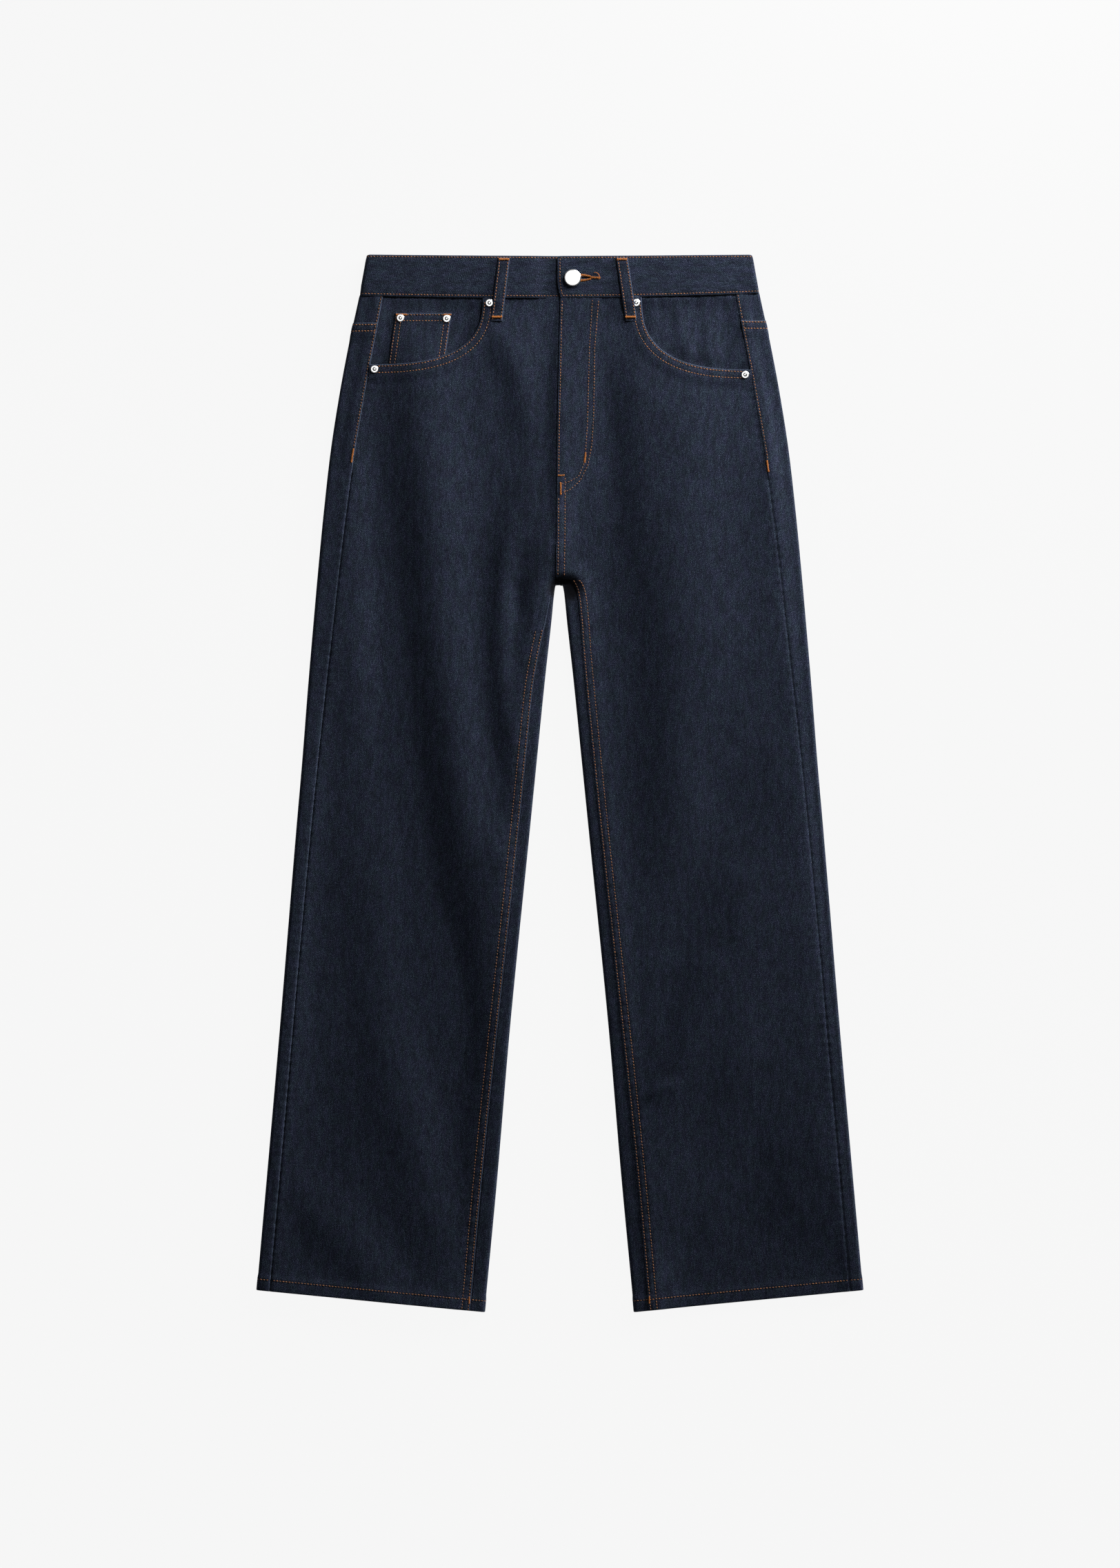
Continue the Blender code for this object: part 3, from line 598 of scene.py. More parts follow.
def top(x, drop):
    """Height of the outer face on top: the folds' height at the edges, then the panel's own with
    its creases and ripples, sunk at the crotch, never through the layer underneath, and rounded off
    past the start of a fold."""
    x, drop = np.broadcast_arrays(np.asarray(x, float), np.asarray(drop, float))
    middle = along(HEIGHTS, "middle", drop)
    fold = along(HEIGHTS, "fold", drop)
    radius = fold_radius(drop)
    from_side = side_fold(drop) - radius - abs(x)
    gap_top = INNER["drop"][2]
    beside = np.maximum(abs(x) - inner_fold(np.maximum(drop, gap_top)), 0)
    from_gap = np.hypot(beside, np.maximum(gap_top - drop, 0)) - radius
    outer = np.where(x > 0, OUTER_SPREAD[LEFT], OUTER_SPREAD[RIGHT])
    inner = np.where(x > 0, INNER_SPREAD[LEFT], INNER_SPREAD[RIGHT])
    inside = 1 - np.exp(-((np.maximum(from_side, 0) / outer) ** 2))
    inside = inside * (1 - np.exp(-((np.maximum(from_gap, 0) / inner) ** 2)))
    z = fold + (middle + crease_height(x, drop) - fold) * inside
    z = z + ripple_height(x, drop) * (0.35 + 0.65 * inside) + seam_puckers(x, drop)
    rest = underside(drop) + RESTING
    z = z - HOLLOW_DEPTH * hollow(x, drop) - side_dip(x, drop)
    z = SETTLING * np.logaddexp(z / SETTLING, rest / SETTLING)
    past = np.clip(np.maximum(-from_side, -from_gap) / radius, 0, 1)
    return z - radius * (1 - np.sqrt(1 - past ** 2))


def side_dip(x, drop):
    """How far the top layer comes down towards the wearer's left side above the hip."""
    return HIP_DIP * smooth(x, *HIP_DIP_X) * (1 - smooth(drop, *HIP_DIP_DROP))


def beneath(x, drop):
    """Height of the outer face underneath: flat on the table but for soft troughs, which follow
    the creases of the other side and fade out towards the folds and the crotch."""
    edge = np.minimum(side_fold(drop) - abs(x), abs(x) - inner_fold(drop) + 40 * (drop < SEAT_DROP))
    lifted = np.maximum(crease_height(x + 9, drop + 14), 0) + 0.9 * np.maximum(
        noise(x / 34 + 7, drop / 90, 21), 0)
    return underside(drop) + UNDER_SHARE * lifted * smooth(edge, 8, 34) * smooth(drop, 322, 380)


def waist_edge(x):
    """Drop of the waistband's top edge, which dips a little at the centre."""
    return EDGE_DROP - EDGE_RISE * abs(np.asarray(x, float) / EDGE_HALF) ** EDGE_POWER


def waist_seam(x):
    """Drop of the waistband's lower seam."""
    x = np.asarray(x, float)
    return SEAM_DROP + SEAM_SAG * (1 - (x / WAIST_HALF) ** 2) - SEAM_LEAN * x


def yoke_seam(side, x, on_top):
    """Drop of the yoke's lower seam: level on top and over the side, lower towards the centre."""
    at_side = YOKE_SIDE[side]
    level_until = side_fold(at_side) - fold_radius(at_side)
    towards_centre = np.clip(1 - abs(np.asarray(x, float)) / level_until, 0, 1)
    return at_side + (0 if on_top else YOKE_CENTRE - at_side) * towards_centre


def slanted(x, inner_drop, outer_drop):
    """Drop at |x| on a leg's row, a straight line from its inner fold to its side fold."""
    low, high = inner_fold(inner_drop), side_fold(outer_drop)
    return inner_drop + (outer_drop - inner_drop) * (abs(x) - low) / (high - low)


def hem_line(x):
    """Drop of the hem at x."""
    return slanted(x, LENGTH, SIDE_LENGTH)


def lapped(side, drop):
    """1 where the side seam is lapped and topstitched, 0 where it is plain."""
    start = SIDE_TACK[side][1]
    return 1 - smooth(drop, start, start + SEAM_CHANGE)


# ---- relief at edges
def rounded(distance, reach, depth):
    """How far a quarter of an ellipse curves away: nothing from its reach on, its depth at 0."""
    near = np.clip((reach - distance) / reach, 0, 1)
    return depth * (1 - np.sqrt(1 - near ** 2))


def roll(distance):
    """How far the outer face curves down at a rolled edge."""
    return rounded(distance, ROLL, ROLL)


def pressed(distance, *lines):
    """The narrow grooves that rows of stitches press into the cloth."""
    return GROOVE * sum(np.exp(-(((distance - line) / GROOVE_HALF) ** 2)) for line in lines)


def double_edge(distance, rise):
    """Relief of an edge with two rows of stitches: raised by what lies under it, puffed up between
    the rows, pressed down along them, and rolled over at the very edge."""
    puff = PUFF * np.exp(-(((distance - PUFF_AT) / PUFF_HALF) ** 2))
    return (rise * (1 - smooth(distance, *RISE_FADES)) + puff - roll(distance)
            - pressed(distance, STITCH_IN, STITCH_OUT))


def single_edge(distance, rise, line=STITCH_IN, reach=SINGLE_REACH):
    """Relief of an edge with one row of stitches."""
    fades = smooth(distance, reach, reach + SINGLE_FADE)
    return rise * (1 - fades) - roll(distance) - pressed(distance, line)


def plain_seam(distance):
    """Relief beside a plain seam: a groove at the seam and a low shoulder over its allowance."""
    shoulder = SHOULDER * np.exp(-(((distance - SHOULDER_AT) / SHOULDER_HALF) ** 2))
    return shoulder - SEAM_GROOVE * np.exp(-((distance / SEAM_GROOVE_HALF) ** 2))


def hem_edge(distance):
    """Relief of the turned-up hem."""
    return single_edge(distance, HEM_RISE, STITCH_HEM, HEM_REACH)


def distance_to(x, drop, line_x, line_drop):
    """Distance from each point to a line through the given points."""
    a = np.stack([line_x[:-1], line_drop[:-1]], axis=-1)
    b = np.stack([line_x[1:], line_drop[1:]], axis=-1)
    p = np.stack([x, drop], axis=-1)[..., None, :]
    t = np.clip(((p - a) * (b - a)).sum(-1) / ((b - a) ** 2).sum(-1), 0, 1)
    return np.sqrt((((a + (b - a) * t[..., None]) - p) ** 2).sum(-1)).min(-1)


# ---- grids and meshes
def points(x, drop, z):
    """World points in millimetres, the last axis x, y, z. The left half lies a little wider."""
    x, drop, z = np.broadcast_arrays(x, drop, z)
    x = x * np.where(x > 0, LEFT_SPREAD, 1.0)
    return np.stack([x, LENGTH / 2 - drop, z], axis=-1).astype(float)


def spread(total, near_start, near_end, count):
    """Distances from 0 to total: the given ones near both ends, and even steps between."""
    total = np.asarray(total, float)[..., None]
    start = np.broadcast_to(near_start, total.shape[:-1] + (len(near_start),))
    low, high = near_start[-1], total - near_end[-1]
    middle = low + (high - low) * np.linspace(0, 1, count + 1)[1:-1]
    return np.concatenate([start, middle, total - np.array(near_end)[::-1]], axis=-1)


def run_along(*parts):
    """Length along lines from their coordinates, 0 at the start; the last axis runs along them."""
    steps = np.hypot(*(np.diff(part) for part in parts))
    return np.concatenate([0 * steps[..., :1], np.cumsum(steps, axis=-1)], axis=-1)


def flat_place(across, drop):
    """Place on the flat cloth, in millimetres."""
    return np.stack([across, -drop], axis=-1)


def grid_normals(grid, up):
    """Unit normals of a grid of points, from its two directions, on the side that is told."""
    normal = np.cross(np.gradient(grid, axis=1), np.gradient(grid, axis=0))
    normal /= np.linalg.norm(normal, axis=-1, keepdims=True) + 1e-12
    return normal if (normal[0, 0, 2] > 0) == up else -normal


def grid_area(grid):
    """Area of a grid's cells in square metres, each as two triangles."""
    a, b, c, d = grid[:-1, :-1], grid[:-1, 1:], grid[1:, 1:], grid[1:, :-1]
    cells = np.cross(b - a, c - a), np.cross(c - a, d - a)
    return float(sum(np.linalg.norm(cell, axis=-1).sum() / 2 for cell in cells)) * MM * MM


def new_piece(name, mesh, finishes):
    """An object for a finished mesh, which rides on the one body."""
    made = bpy.data.objects.new(name, mesh)
    for finish in finishes:
        mesh.materials.append(finish)
    bpy.context.scene.collection.objects.link(made)
    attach(made, "root")
    return made


def cloth(name, grid, grain, edge, nodes, up=True, wall=WALL, shade=0.0, holes=None,
          flat_rows=(0, 0)):
    """A shell of cloth over a grid of points, which takes the place of its CAD nodes.

    Its corners are the grid's points, its faces the grid's cells, and Solidify adds the wall on
    the inside. The map "cloth" holds each point's place on the flat cloth in metres, "edge" its
    distance to a finished edge in millimetres and "shade" how far painted shade darkens its colour
    in a hollow. The cells of the flat rows, from the first up to the end, are shaded flat, as they
    are thin and aslant.
    """
    rows, columns = grid.shape[:2]
    index = np.arange(rows * columns).reshape(rows, columns)
    corners = (index[:-1, :-1], index[:-1, 1:], index[1:, 1:], index[1:, :-1])
    quads = np.stack(corners, axis=-1)
    quads = quads.reshape(-1, 4) if holes is None else quads[~holes]
    normal = np.cross(grid[0, 1] - grid[0, 0], grid[1, 0] - grid[0, 0])
    if (normal[2] > 0) != up:
        quads = quads[:, ::-1]
    used, quads = np.unique(quads, return_inverse=True)
    quads = quads.reshape(-1, 4)
    mesh = bpy.data.meshes.new(name)
    mesh.from_pydata((grid.reshape(-1, 3)[used] * MM).tolist(), [], quads.tolist())
    at_corner = np.empty(len(mesh.loops), dtype=np.int32)
    mesh.loops.foreach_get("vertex_index", at_corner)
    flat = (grain.reshape(-1, 2)[used] * MM)[at_corner].astype(np.float32)
    mesh.uv_layers.new(name="cloth").data.foreach_set("uv", flat.ravel())
    for label, values in (("edge", edge), ("shade", shade)):
        values = np.broadcast_to(values, grid.shape[:2]).astype(np.float32).ravel()[used]
        mesh.attributes.new(label, "FLOAT", "POINT").data.foreach_set("value", values)
    even = np.ones(len(quads), dtype=bool)
    even[flat_rows[0] * (columns - 1):flat_rows[1] * (columns - 1)] = False
    mesh.polygons.foreach_set("use_smooth", even)
    made = new_piece(name, mesh, [finish("denim_face"), finish("denim_inside")])
    solidify = made.modifiers.new("wall", "SOLIDIFY")
    solidify.thickness = wall * MM
    solidify.offset = -1
    solidify.material_offset = 1
    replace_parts(made, *nodes)
    extent = np.ptp(grain.reshape(-1, 2), axis=0) * MM
    area = min(grid_area(grid), extent[0] * extent[1])
    return made


def closed_mesh(name, vertices, faces, attribute=None):
    """A smooth mesh from arrays, with a named value at each point where one is given."""
    mesh = bpy.data.meshes.new(name)
    mesh.from_pydata((vertices * MM).tolist(), [], faces)
    if attribute is not None:
        label, values = attribute
        mesh.attributes.new(label, "FLOAT", "POINT").data.foreach_set(
            "value", values.astype(np.float32))
    mesh.shade_smooth()
    return mesh


def lathe(name, profile, steps, centre):
    """A turned piece: its profile, from the top of the axis down the outer side and back to the
    axis, carried round the axis. Points on the axis are single."""
    angle = np.arange(steps) * 2 * math.pi / steps
    radius, height = profile["radius"][1:-1], profile["height"][1:-1]
    ring = np.stack([
        radius[:, None] * np.cos(angle),
        radius[:, None] * np.sin(angle),
        np.broadcast_to(height[:, None], (len(radius), steps)),
    ], axis=-1)
    ends = np.array([[0, 0, profile["height"][0]], [0, 0, profile["height"][-1]]])
    vertices = np.concatenate([ring.reshape(-1, 3), ends]) + np.asarray(centre)
    index = np.arange(len(radius) * steps).reshape(len(radius), steps)
    after = np.roll(index, -1, axis=1)
    sides = np.stack([index[:-1], index[1:], after[1:], after[:-1]], axis=-1).reshape(-1, 4)
    first, last = len(index) * steps, len(index) * steps + 1
    upper = np.stack([np.full(steps, first), index[0], after[0]], axis=-1)
    lower = np.stack([index[-1], np.full(steps, last), after[-1]], axis=-1)
    faces = sides.tolist() + upper.tolist() + lower.tolist()
    return closed_mesh(name, vertices, faces)


# ---- sewing
class Sewing:
    """Collects stitches and makes one mesh of them. Each is a short bent rod with closed ends: five
    rings of six points along its line, thin and sunk at both ends, highest in the middle. Those
    underneath are pressed flat on the table."""
    SIDES = 6
    STATIONS = table(
        "along size lift",
        (-1, 0.3, -0.75), (-0.7, 0.85, 0.15), (0, 1.0, 0.42), (0.7, 0.85, 0.15), (1, 0.3, -0.75),
    )

    def __init__(self, seed):
        self.random = np.random.default_rng(seed)
        self.vertices, self.tints = [], []

    def rods(self, centre, direction, normal, length, thickness, tint):
        """Adds one stitch for each centre."""
        count = len(centre)
        direction = direction / np.linalg.norm(direction, axis=-1, keepdims=True)
        across = np.cross(normal, direction)
        across /= np.linalg.norm(across, axis=-1, keepdims=True)
        normal = np.cross(direction, across)
        angle = np.arange(self.SIDES) * 2 * math.pi / self.SIDES
        station = self.STATIONS
        half = (np.broadcast_to(length, (count,)) / 2)[:, None, None, None]
        radius = (np.broadcast_to(thickness, (count,)) / 2)[:, None, None, None]
        reach = station["along"][None, :, None, None] * half * direction[:, None, None, :]
        size = station["size"][None, :, None, None] * radius
        lift = station["lift"][None, :, None, None] * radius
        up = (lift + size * 0.85 * np.sin(angle)[None, None, :, None]) * normal[:, None, None, :]
        out = size * np.cos(angle)[None, None, :, None] * across[:, None, None, :]
        vertices = (centre[:, None, None, :] + reach + up + out).reshape(-1, 3)
        vertices[:, 2] = np.maximum(vertices[:, 2], 0.0)
        self.vertices.append(vertices)
        per_rod = len(station) * self.SIDES
        self.tints.append(np.repeat(np.broadcast_to(tint, (count,)), per_rod))

    def seam(self, line, normals, skip=0.0, tone=(0.0, 0.75)):
        """Stitches at an even pitch along a line, a little uneven in length, width and angle."""
        settings = bpy.context.scene.jeans_thread
        pitch, length = settings.pitch / MM, settings.length / MM
        steps = np.linalg.norm(np.diff(line, axis=0), axis=-1)
        run = np.concatenate([[0], np.cumsum(steps)])
        count = int((run[-1] - 2 * skip) / pitch)
        if count < 1:
            return
        start = skip + (run[-1] - 2 * skip - count * pitch) / 2
        at = start + (np.arange(count) + 0.5) * pitch + self.random.uniform(-0.12, 0.12, count)

        def sample(values, where):
            return np.stack([np.interp(where, run, values[:, k]) for k in range(3)], axis=-1)

        before, after = sample(line, at - length / 2), sample(line, at + length / 2)
        normal = sample(normals, at)
        direction = after - before
        yaw = self.random.normal(0, 0.05, (count, 1))
        direction = direction + np.cross(normal, direction) * yaw
        self.rods(
            (before + after) / 2, direction, normal,
            length * self.random.uniform(0.9, 1.08, count),
            settings.thickness / MM * self.random.uniform(0.85, 1.12, count),
            self.random.uniform(*tone, count),
        )

    def lines(self, grid, up, rows=(), columns=(), part=slice(None), **ways):
        """Stitches along rows and then columns of a grid, or along a part of them."""
        for row in rows:
            self.seam(*grid_line(grid, up, row=row, part=part), **ways)
        for column in columns:
            self.seam(*grid_line(grid, up, column=column, part=part), **ways)

    def tack(self, start, end, normal, width, step=TACK_GRAIN, thickness=0.75, tone=(0.0, 1.0)):
        """A bartack: threads laid closely side by side across a short line."""
        start, end = np.asarray(start, float), np.asarray(end, float)
        run = end - start
        length = np.linalg.norm(run)
        count = max(int(length / step), 3)
        share = ((np.arange(count) + 0.5) / count)[:, None]
        normal = np.broadcast_to(np.asarray(normal, float), (count, 3))
        run = np.broadcast_to(run / length, (count, 3))
        across = np.cross(normal, run) + run * self.random.uniform(-0.22, 0.22, (count, 1))
        centre = start + (end - start) * share + across * self.random.normal(0, 0.07, (count, 1))
        self.rods(
            centre + normal * 0.12, across, normal,
            width * self.random.uniform(0.85, 1.12, count), thickness,
            self.random.uniform(*tone, count),
        )

    def make(self, name, thread_name):
        """One piece of all the stitches, which keep their tints."""
        vertices = np.concatenate(self.vertices)
        stations, sides = len(self.STATIONS), self.SIDES
        index = np.arange(stations * sides).reshape(stations, sides)
        after = np.roll(index, -1, axis=1)
        around = np.stack([index[:-1], after[:-1], after[1:], index[1:]], axis=-1).reshape(-1, 4)
        count = len(vertices) // (stations * sides)
        offset = (np.arange(count) * stations * sides)[:, None, None]
        quads = (around[None] + offset).reshape(-1, 4).tolist()
        first = (index[0][::-1][None, None] + offset).reshape(-1, sides).tolist()
        last = (index[-1][None, None] + offset).reshape(-1, sides).tolist()
        mesh = closed_mesh(name, vertices, quads + first + last,
                           ("tint", np.concatenate(self.tints)))
        return new_piece(name, mesh, [finish(thread_name)])


def grid_line(grid, up, row=None, column=None, part=slice(None)):
    """A row or column of a grid as a line with its normals."""
    normals = grid_normals(grid, up)
    if row is not None:
        return grid[row, part], normals[row, part]
    return grid[part, column], normals[part, column]


# ---- the fronts
def front_inner_edge(side, drop):
    """Mirrored x of a front's centre edge above the crotch. The left one's is the fly's edge, and
    the right one reaches under it."""
    edge = side * fly_edge(drop)
    if side == LEFT:
        return edge
    return edge - TUCK - FLY_UNDERLAP * (1 - smooth(drop, FLY_DROP, FLY_CLOSED))


def front_side_edge(side, drop):
    """Mirrored x of a front's outer edge, under the back where the seam is lapped."""
    return side_seam(drop) - 0.05 + (TUCK + 0.05) * lapped(side, drop)


def scoop_line(side, inward=0.0):
    """The pocket opening's edge as a superellipse from the waistband to the side seam, moved into
    the front by a distance: mirrored x and drop."""
    x_end, drop_end = side_seam(SCOOP_DEPTH[side]), SCOOP_DEPTH[side]
    width = x_end - SCOOP_TOP[side]
    depth = drop_end - waist_seam(side * SCOOP_TOP[side])
    angle = np.linspace(0, 1, 181) * math.pi / 2
    power = 2 / SCOOP_POWER
    x = x_end - width * np.abs(np.cos(angle)) ** power
    drop = drop_end - depth + depth * np.sin(angle) ** power
    dx, dd = np.gradient(x), np.gradient(drop)
    size = np.hypot(dx, dd)
    x, drop = x - inward * dd / size, drop + inward * dx / size
    return np.append(x, x[-1] + TUCK), np.append(drop, drop[-1])


def crotch_line(side):
    """The front's edge past the crotch: mirrored x and drop from the fly's foot to the inseam."""
    drop = np.array([CROTCH_DROP, 322.5, 324, 325.4, 327.5, 330, 333, 337, 342, 352, 372, 400])
    x = inseam(side, drop)
    start = side * fly_edge(CROTCH_DROP)
    above = np.array([[start, 250.0], [start, CORNER_DROP]])
    if side == RIGHT:
        above = above[1:] - np.array([TUCK + 1, 0])
    return np.append(above[:, 0], x), np.append(above[:, 1], drop)


def front_edges(side, x, drop):
    """Distances of points on a front from its centre edge, pocket opening, waist and hem."""
    m = side * x
    near = (drop > 285) & (drop < ROLLED_RISE_DROP[0])
    inner = np.where(drop > CROTCH_DROP, m - inseam(side, drop), m - side * fly_edge(drop))
    if side == RIGHT:
        inner = np.where(drop > CROTCH_DROP, inner, FAR)
    inner[near] = distance_to(m[near], drop[near], *crotch_line(side))
    scoop = np.full(m.shape, FAR)
    high = drop < SCOOP_REACH
    line_x, line_drop = scoop_line(side)
    scoop[high] = distance_to(m[high], drop[high], line_x[::6], line_drop[::6])
    return inner, scoop, drop - waist_seam(x), hem_line(x) - drop


def fly_facing(x, drop):
    """Relief of the fly: raised by its facing inside the curved stitching, which is pressed in."""
    inner, outer = (distance_to(x, drop, line["x"], line["drop"]) for line in FLY_STITCHES)
    line = FLY_STITCHES[1]
    inside = (x < np.interp(drop, line["drop"], line["x"])) & (drop < line["drop"][-1])
    signed = np.where(inside, -outer, outer)
    rows = sum(np.exp(-((distance / GROOVE_HALF) ** 2)) for distance in (inner, outer))
    return FLY_RAISE * (1 - smooth(signed, -0.5, 3.5)) - GROOVE * rows


def front_height(side, x, drop):
    """Height of a front's outer face, with the relief of its edges. The left one is raised over the
    right one, which is sunk below the fly."""
    x, drop = np.broadcast_arrays(np.asarray(x, float), np.asarray(drop, float))
    inner, scoop, waist, hem = front_edges(side, x, drop)
    z = top(x, drop) + double_edge(scoop, RISE) + hem_edge(hem) - 0.4 * roll(waist)
    z = z + (1 - lapped(side, drop)) * plain_seam(side_seam(drop) - side * x)
    below_fly = smooth(drop, *FLY_SINK_DROP)
    if side == LEFT:
        lowered = (RISE - INSEAM_RISE[LEFT]) * smooth(drop, *INSEAM_LOWERS)
        rise = (RISE - FLY_RAISE) * below_fly - lowered
        double = smooth(drop, *FLY_DOUBLE_DROP)
        edge = double * double_edge(inner, rise + FLY_RAISE * below_fly)
        edge = edge + (1 - double) * single_edge(inner, rise)
        return z + edge + (1 - below_fly) * fly_facing(x, drop)
    shows = np.maximum(smooth(-x, *ROLLED_RISE_X), smooth(drop, *ROLLED_RISE_DROP))
    rise = INSEAM_RISE[RIGHT] * shows
    sunk = FLY_SINK * smooth(x, *FLY_SINK_X) * (1 - below_fly)
    return z + double_edge(inner, rise) - sunk


def leg_rows(crotch_drop):
    """Drop at the inner fold and at the side fold of each row from the crotch to the hem."""
    steps = np.linspace(0, len(CROTCH_ROWS) - 1, (len(CROTCH_ROWS) - 1) * CROTCH_SPLIT + 1)
    known = np.arange(len(CROTCH_ROWS))
    share = np.linspace(0, 1, LEG_ROWS + 1)[1:]
    hem = np.array(HEM[-2::-1])
    rows = []
    for column, end in (("inner", LENGTH), ("outer", SIDE_LENGTH)):
        crotch = np.interp(steps, known, CROTCH_ROWS[column])
        last = end - HEM[-1]
        rows.append(np.concatenate([crotch, crotch[-1] + (last - crotch[-1]) * share, end - hem]))
    rows[0][0] = crotch_drop
    return rows


def front_grid(side):
    """The front's outer face. Its first rows run at even distances from the waist seam and the
    pocket opening; they blend into level rows, and those into the leg's slanted rows."""
    rows_x, rows_drop = [], []
    for inward in DOUBLE:
        corner = SCOOP_TOP[side] - inward
        corner_drop = waist_seam(side * corner) + 0.1 + inward
        low = front_inner_edge(side, corner_drop)
        waist_x = low + spread(corner - low, DOUBLE, (0,), WAIST_CELLS)
        waist_drop = waist_seam(side * waist_x) + 0.1 + inward
        if inward == 0:
            waist_drop = waist_drop - BAND_TUCK * smooth(corner - waist_x, 0, 3)
        line_x, line_drop = scoop_line(side, inward)
        below = line_drop > corner_drop + 0.05
        line_x = np.append(corner, line_x[below])
        line_drop = np.append(corner_drop, line_drop[below])
        run = run_along(line_x, line_drop)
        at = spread(run[-1], (0,), COVERED, SCOOP_CELLS)[1:]
        rows_x.append(np.append(waist_x, np.interp(at, run, line_x)))
        rows_drop.append(np.append(waist_drop, np.interp(at, run, line_drop)))
    top_x, top_drop = np.array(rows_x), np.array(rows_drop)

    def level(drop):
        low = front_inner_edge(side, drop)
        width = front_side_edge(side, drop) - low
        return low[:, None] + spread(width, DOUBLE, COVERED, WAIST_CELLS + SCOOP_CELLS)

    first = np.array([FRONT_BLEND_DROP])
    share = np.linspace(0, 1, BLEND_ROWS + 1)[1:, None]
    blend_x = top_x[-1] + (level(first) - top_x[-1]) * share
    blend_drop = top_drop[-1] + (first - top_drop[-1]) * share
    drops = np.linspace(FRONT_BLEND_DROP, CORNER_DROP, LEVEL_ROWS + 1)[1:]
    level_x = level(drops)
    inner, outer = leg_rows(CROTCH_DROP)
    low = inseam(side, inner)
    width = front_side_edge(side, outer) - low
    leg_x = low[:, None] + spread(width, DOUBLE, COVERED, WAIST_CELLS + SCOOP_CELLS)
    leg_drop = slanted(leg_x, inner[:, None], outer[:, None])
    share = np.linspace(0, 1, CORNER_ROWS + 2)[1:-1, None]
    corner_x = level_x[-1] + (leg_x[0] - level_x[-1]) * share
    corner_drop = drops[-1] + (leg_drop[0] - drops[-1]) * share
    x = side * np.concatenate([top_x, blend_x, level_x, corner_x, leg_x])
    level_drop = np.broadcast_to(drops[:, None], level_x.shape)
    drop = np.concatenate([top_drop, blend_drop, level_drop, corner_drop, leg_drop])
    return points(x, drop, front_height(side, x, drop)), x, drop


# ---- the backs and yokes
def section_of(x, drop, z, out_x, out_z):
    """Rows of a section: mirrored x, drop, height and the two parts of the outward direction."""
    return np.stack(np.broadcast_arrays(x, drop, z, out_x, out_z), axis=-1)


def side_strip(side, fold_drop, x_drop):
    """The part of a back's or yoke's rows that lies on top and turns over the side fold. x_drop
    gives the drop at an x."""
    half, radius, low = side_fold(fold_drop), fold_radius(fold_drop), underside(fold_drop)
    start = side_seam(fold_drop) + 0.05
    strip = start[:, None] + spread(half - radius - start, SINGLE, (0,), STRIP_CELLS)
    drop = x_drop(strip, True)
    on_top = section_of(strip, drop, top(side * strip, drop), 0, 1)
    turn = np.linspace(math.pi / 2, -math.pi / 2, TURN_CELLS + 1)[1:]
    half, radius, low = half[:, None], radius[:, None], low[:, None]
    lift = on_top[:, -1:, 2] - low - 2 * radius
    x = half - radius + radius * np.cos(turn)
    z = low + radius + radius * np.sin(turn) + lift * np.maximum(np.sin(turn), 0)
    over = section_of(x, x_drop(x, True), z, np.cos(turn), np.sin(turn))
    return np.concatenate([on_top, over], axis=1)


def seat_rows(side, fold_drop, x_drop):
    """Rows of the seat: round the side fold, then along the underside to the seat seam."""
    first = side_strip(side, fold_drop, x_drop)
    reach = TUCK * (1 - smooth(fold_drop, *SEAT_LAP_DROP))
    centre = 0 * fold_drop + CENTRE_SEAM if side == LEFT else CENTRE_SEAM - reach
    near = math.pi * fold_radius(SEAT_DROP) + 9.0
    cells = TURN_CELLS + INNER_CELLS + 1 - len(DOUBLE)
    near_x = centre[:, None] + spread(near - centre, DOUBLE, (0,), cells)[:, ::-1]
    start = first[:, -1:, 0]
    far_x = start + (near - start) * np.linspace(0, 1, BENEATH_CELLS + 1)[1:-1]
    x = np.concatenate([far_x, near_x], axis=1)
    drop = x_drop(x, False)
    under = section_of(x, drop, beneath(side * x, drop), 0, -1)
    return np.concatenate([first, under], axis=1)


def round_leg_rows(side, inner, outer):
    """Rows of the leg: round the side fold, underneath, and round the inner fold to the inseam."""
    def x_drop(x, on_top=False):
        return slanted(x, inner[:, None], outer[:, None])

    first = side_strip(side, outer, x_drop)
    half, radius = inner_fold(inner)[:, None], fold_radius(inner)[:, None]
    low = underside(inner)[:, None]
    start = first[:, -1:, 0]
    x = start + (half + radius - start) * np.linspace(0, 1, BENEATH_CELLS + 1)[1:-1]
    under = section_of(x, x_drop(x), beneath(side * x, x_drop(x)), 0, -1)
    turn = np.linspace(-math.pi / 2, -3 * math.pi / 2, TURN_CELLS + 1)
    x = half + radius + radius * np.cos(turn)
    crown = top(side * (half + radius), x_drop(half + radius)) - low - 2 * radius
    z = low + radius + radius * np.sin(turn) + crown * np.maximum(np.sin(turn), 0)
    around = section_of(x, x_drop(x), z, np.cos(turn), np.sin(turn))
    end = np.maximum(inseam(side, inner)[:, None] + TUCK, half + radius + 0.4)
    x = half + radius + (end - half - radius) * np.linspace(0, 1, INNER_CELLS + 1)[1:]
    strip = section_of(x, x_drop(x), top(side * x, x_drop(x)), 0, 1)
    return np.concatenate([first, under, around, strip], axis=1)


def with_relief(side, section, relief):
    """World points of a section, moved outwards by its relief and kept above the table."""
    x, drop, z, out_x, out_z = np.moveaxis(section, -1, 0)
    return points(side * (x + out_x * relief), drop, np.maximum(z + out_z * relief, 0))


def side_relief(side, section):
    """Relief of the side seam's edge on a section's strip: lapped above, plain below."""
    x, drop = section[..., 0], section[..., 1]
    distance = x - side_seam(drop) - 0.05
    distance[:, len(SINGLE) + STRIP_CELLS:] = FAR
    share = lapped(side, drop)
    return share * single_edge(distance, SIDE_RISE) + (1 - share) * plain_seam(distance), distance


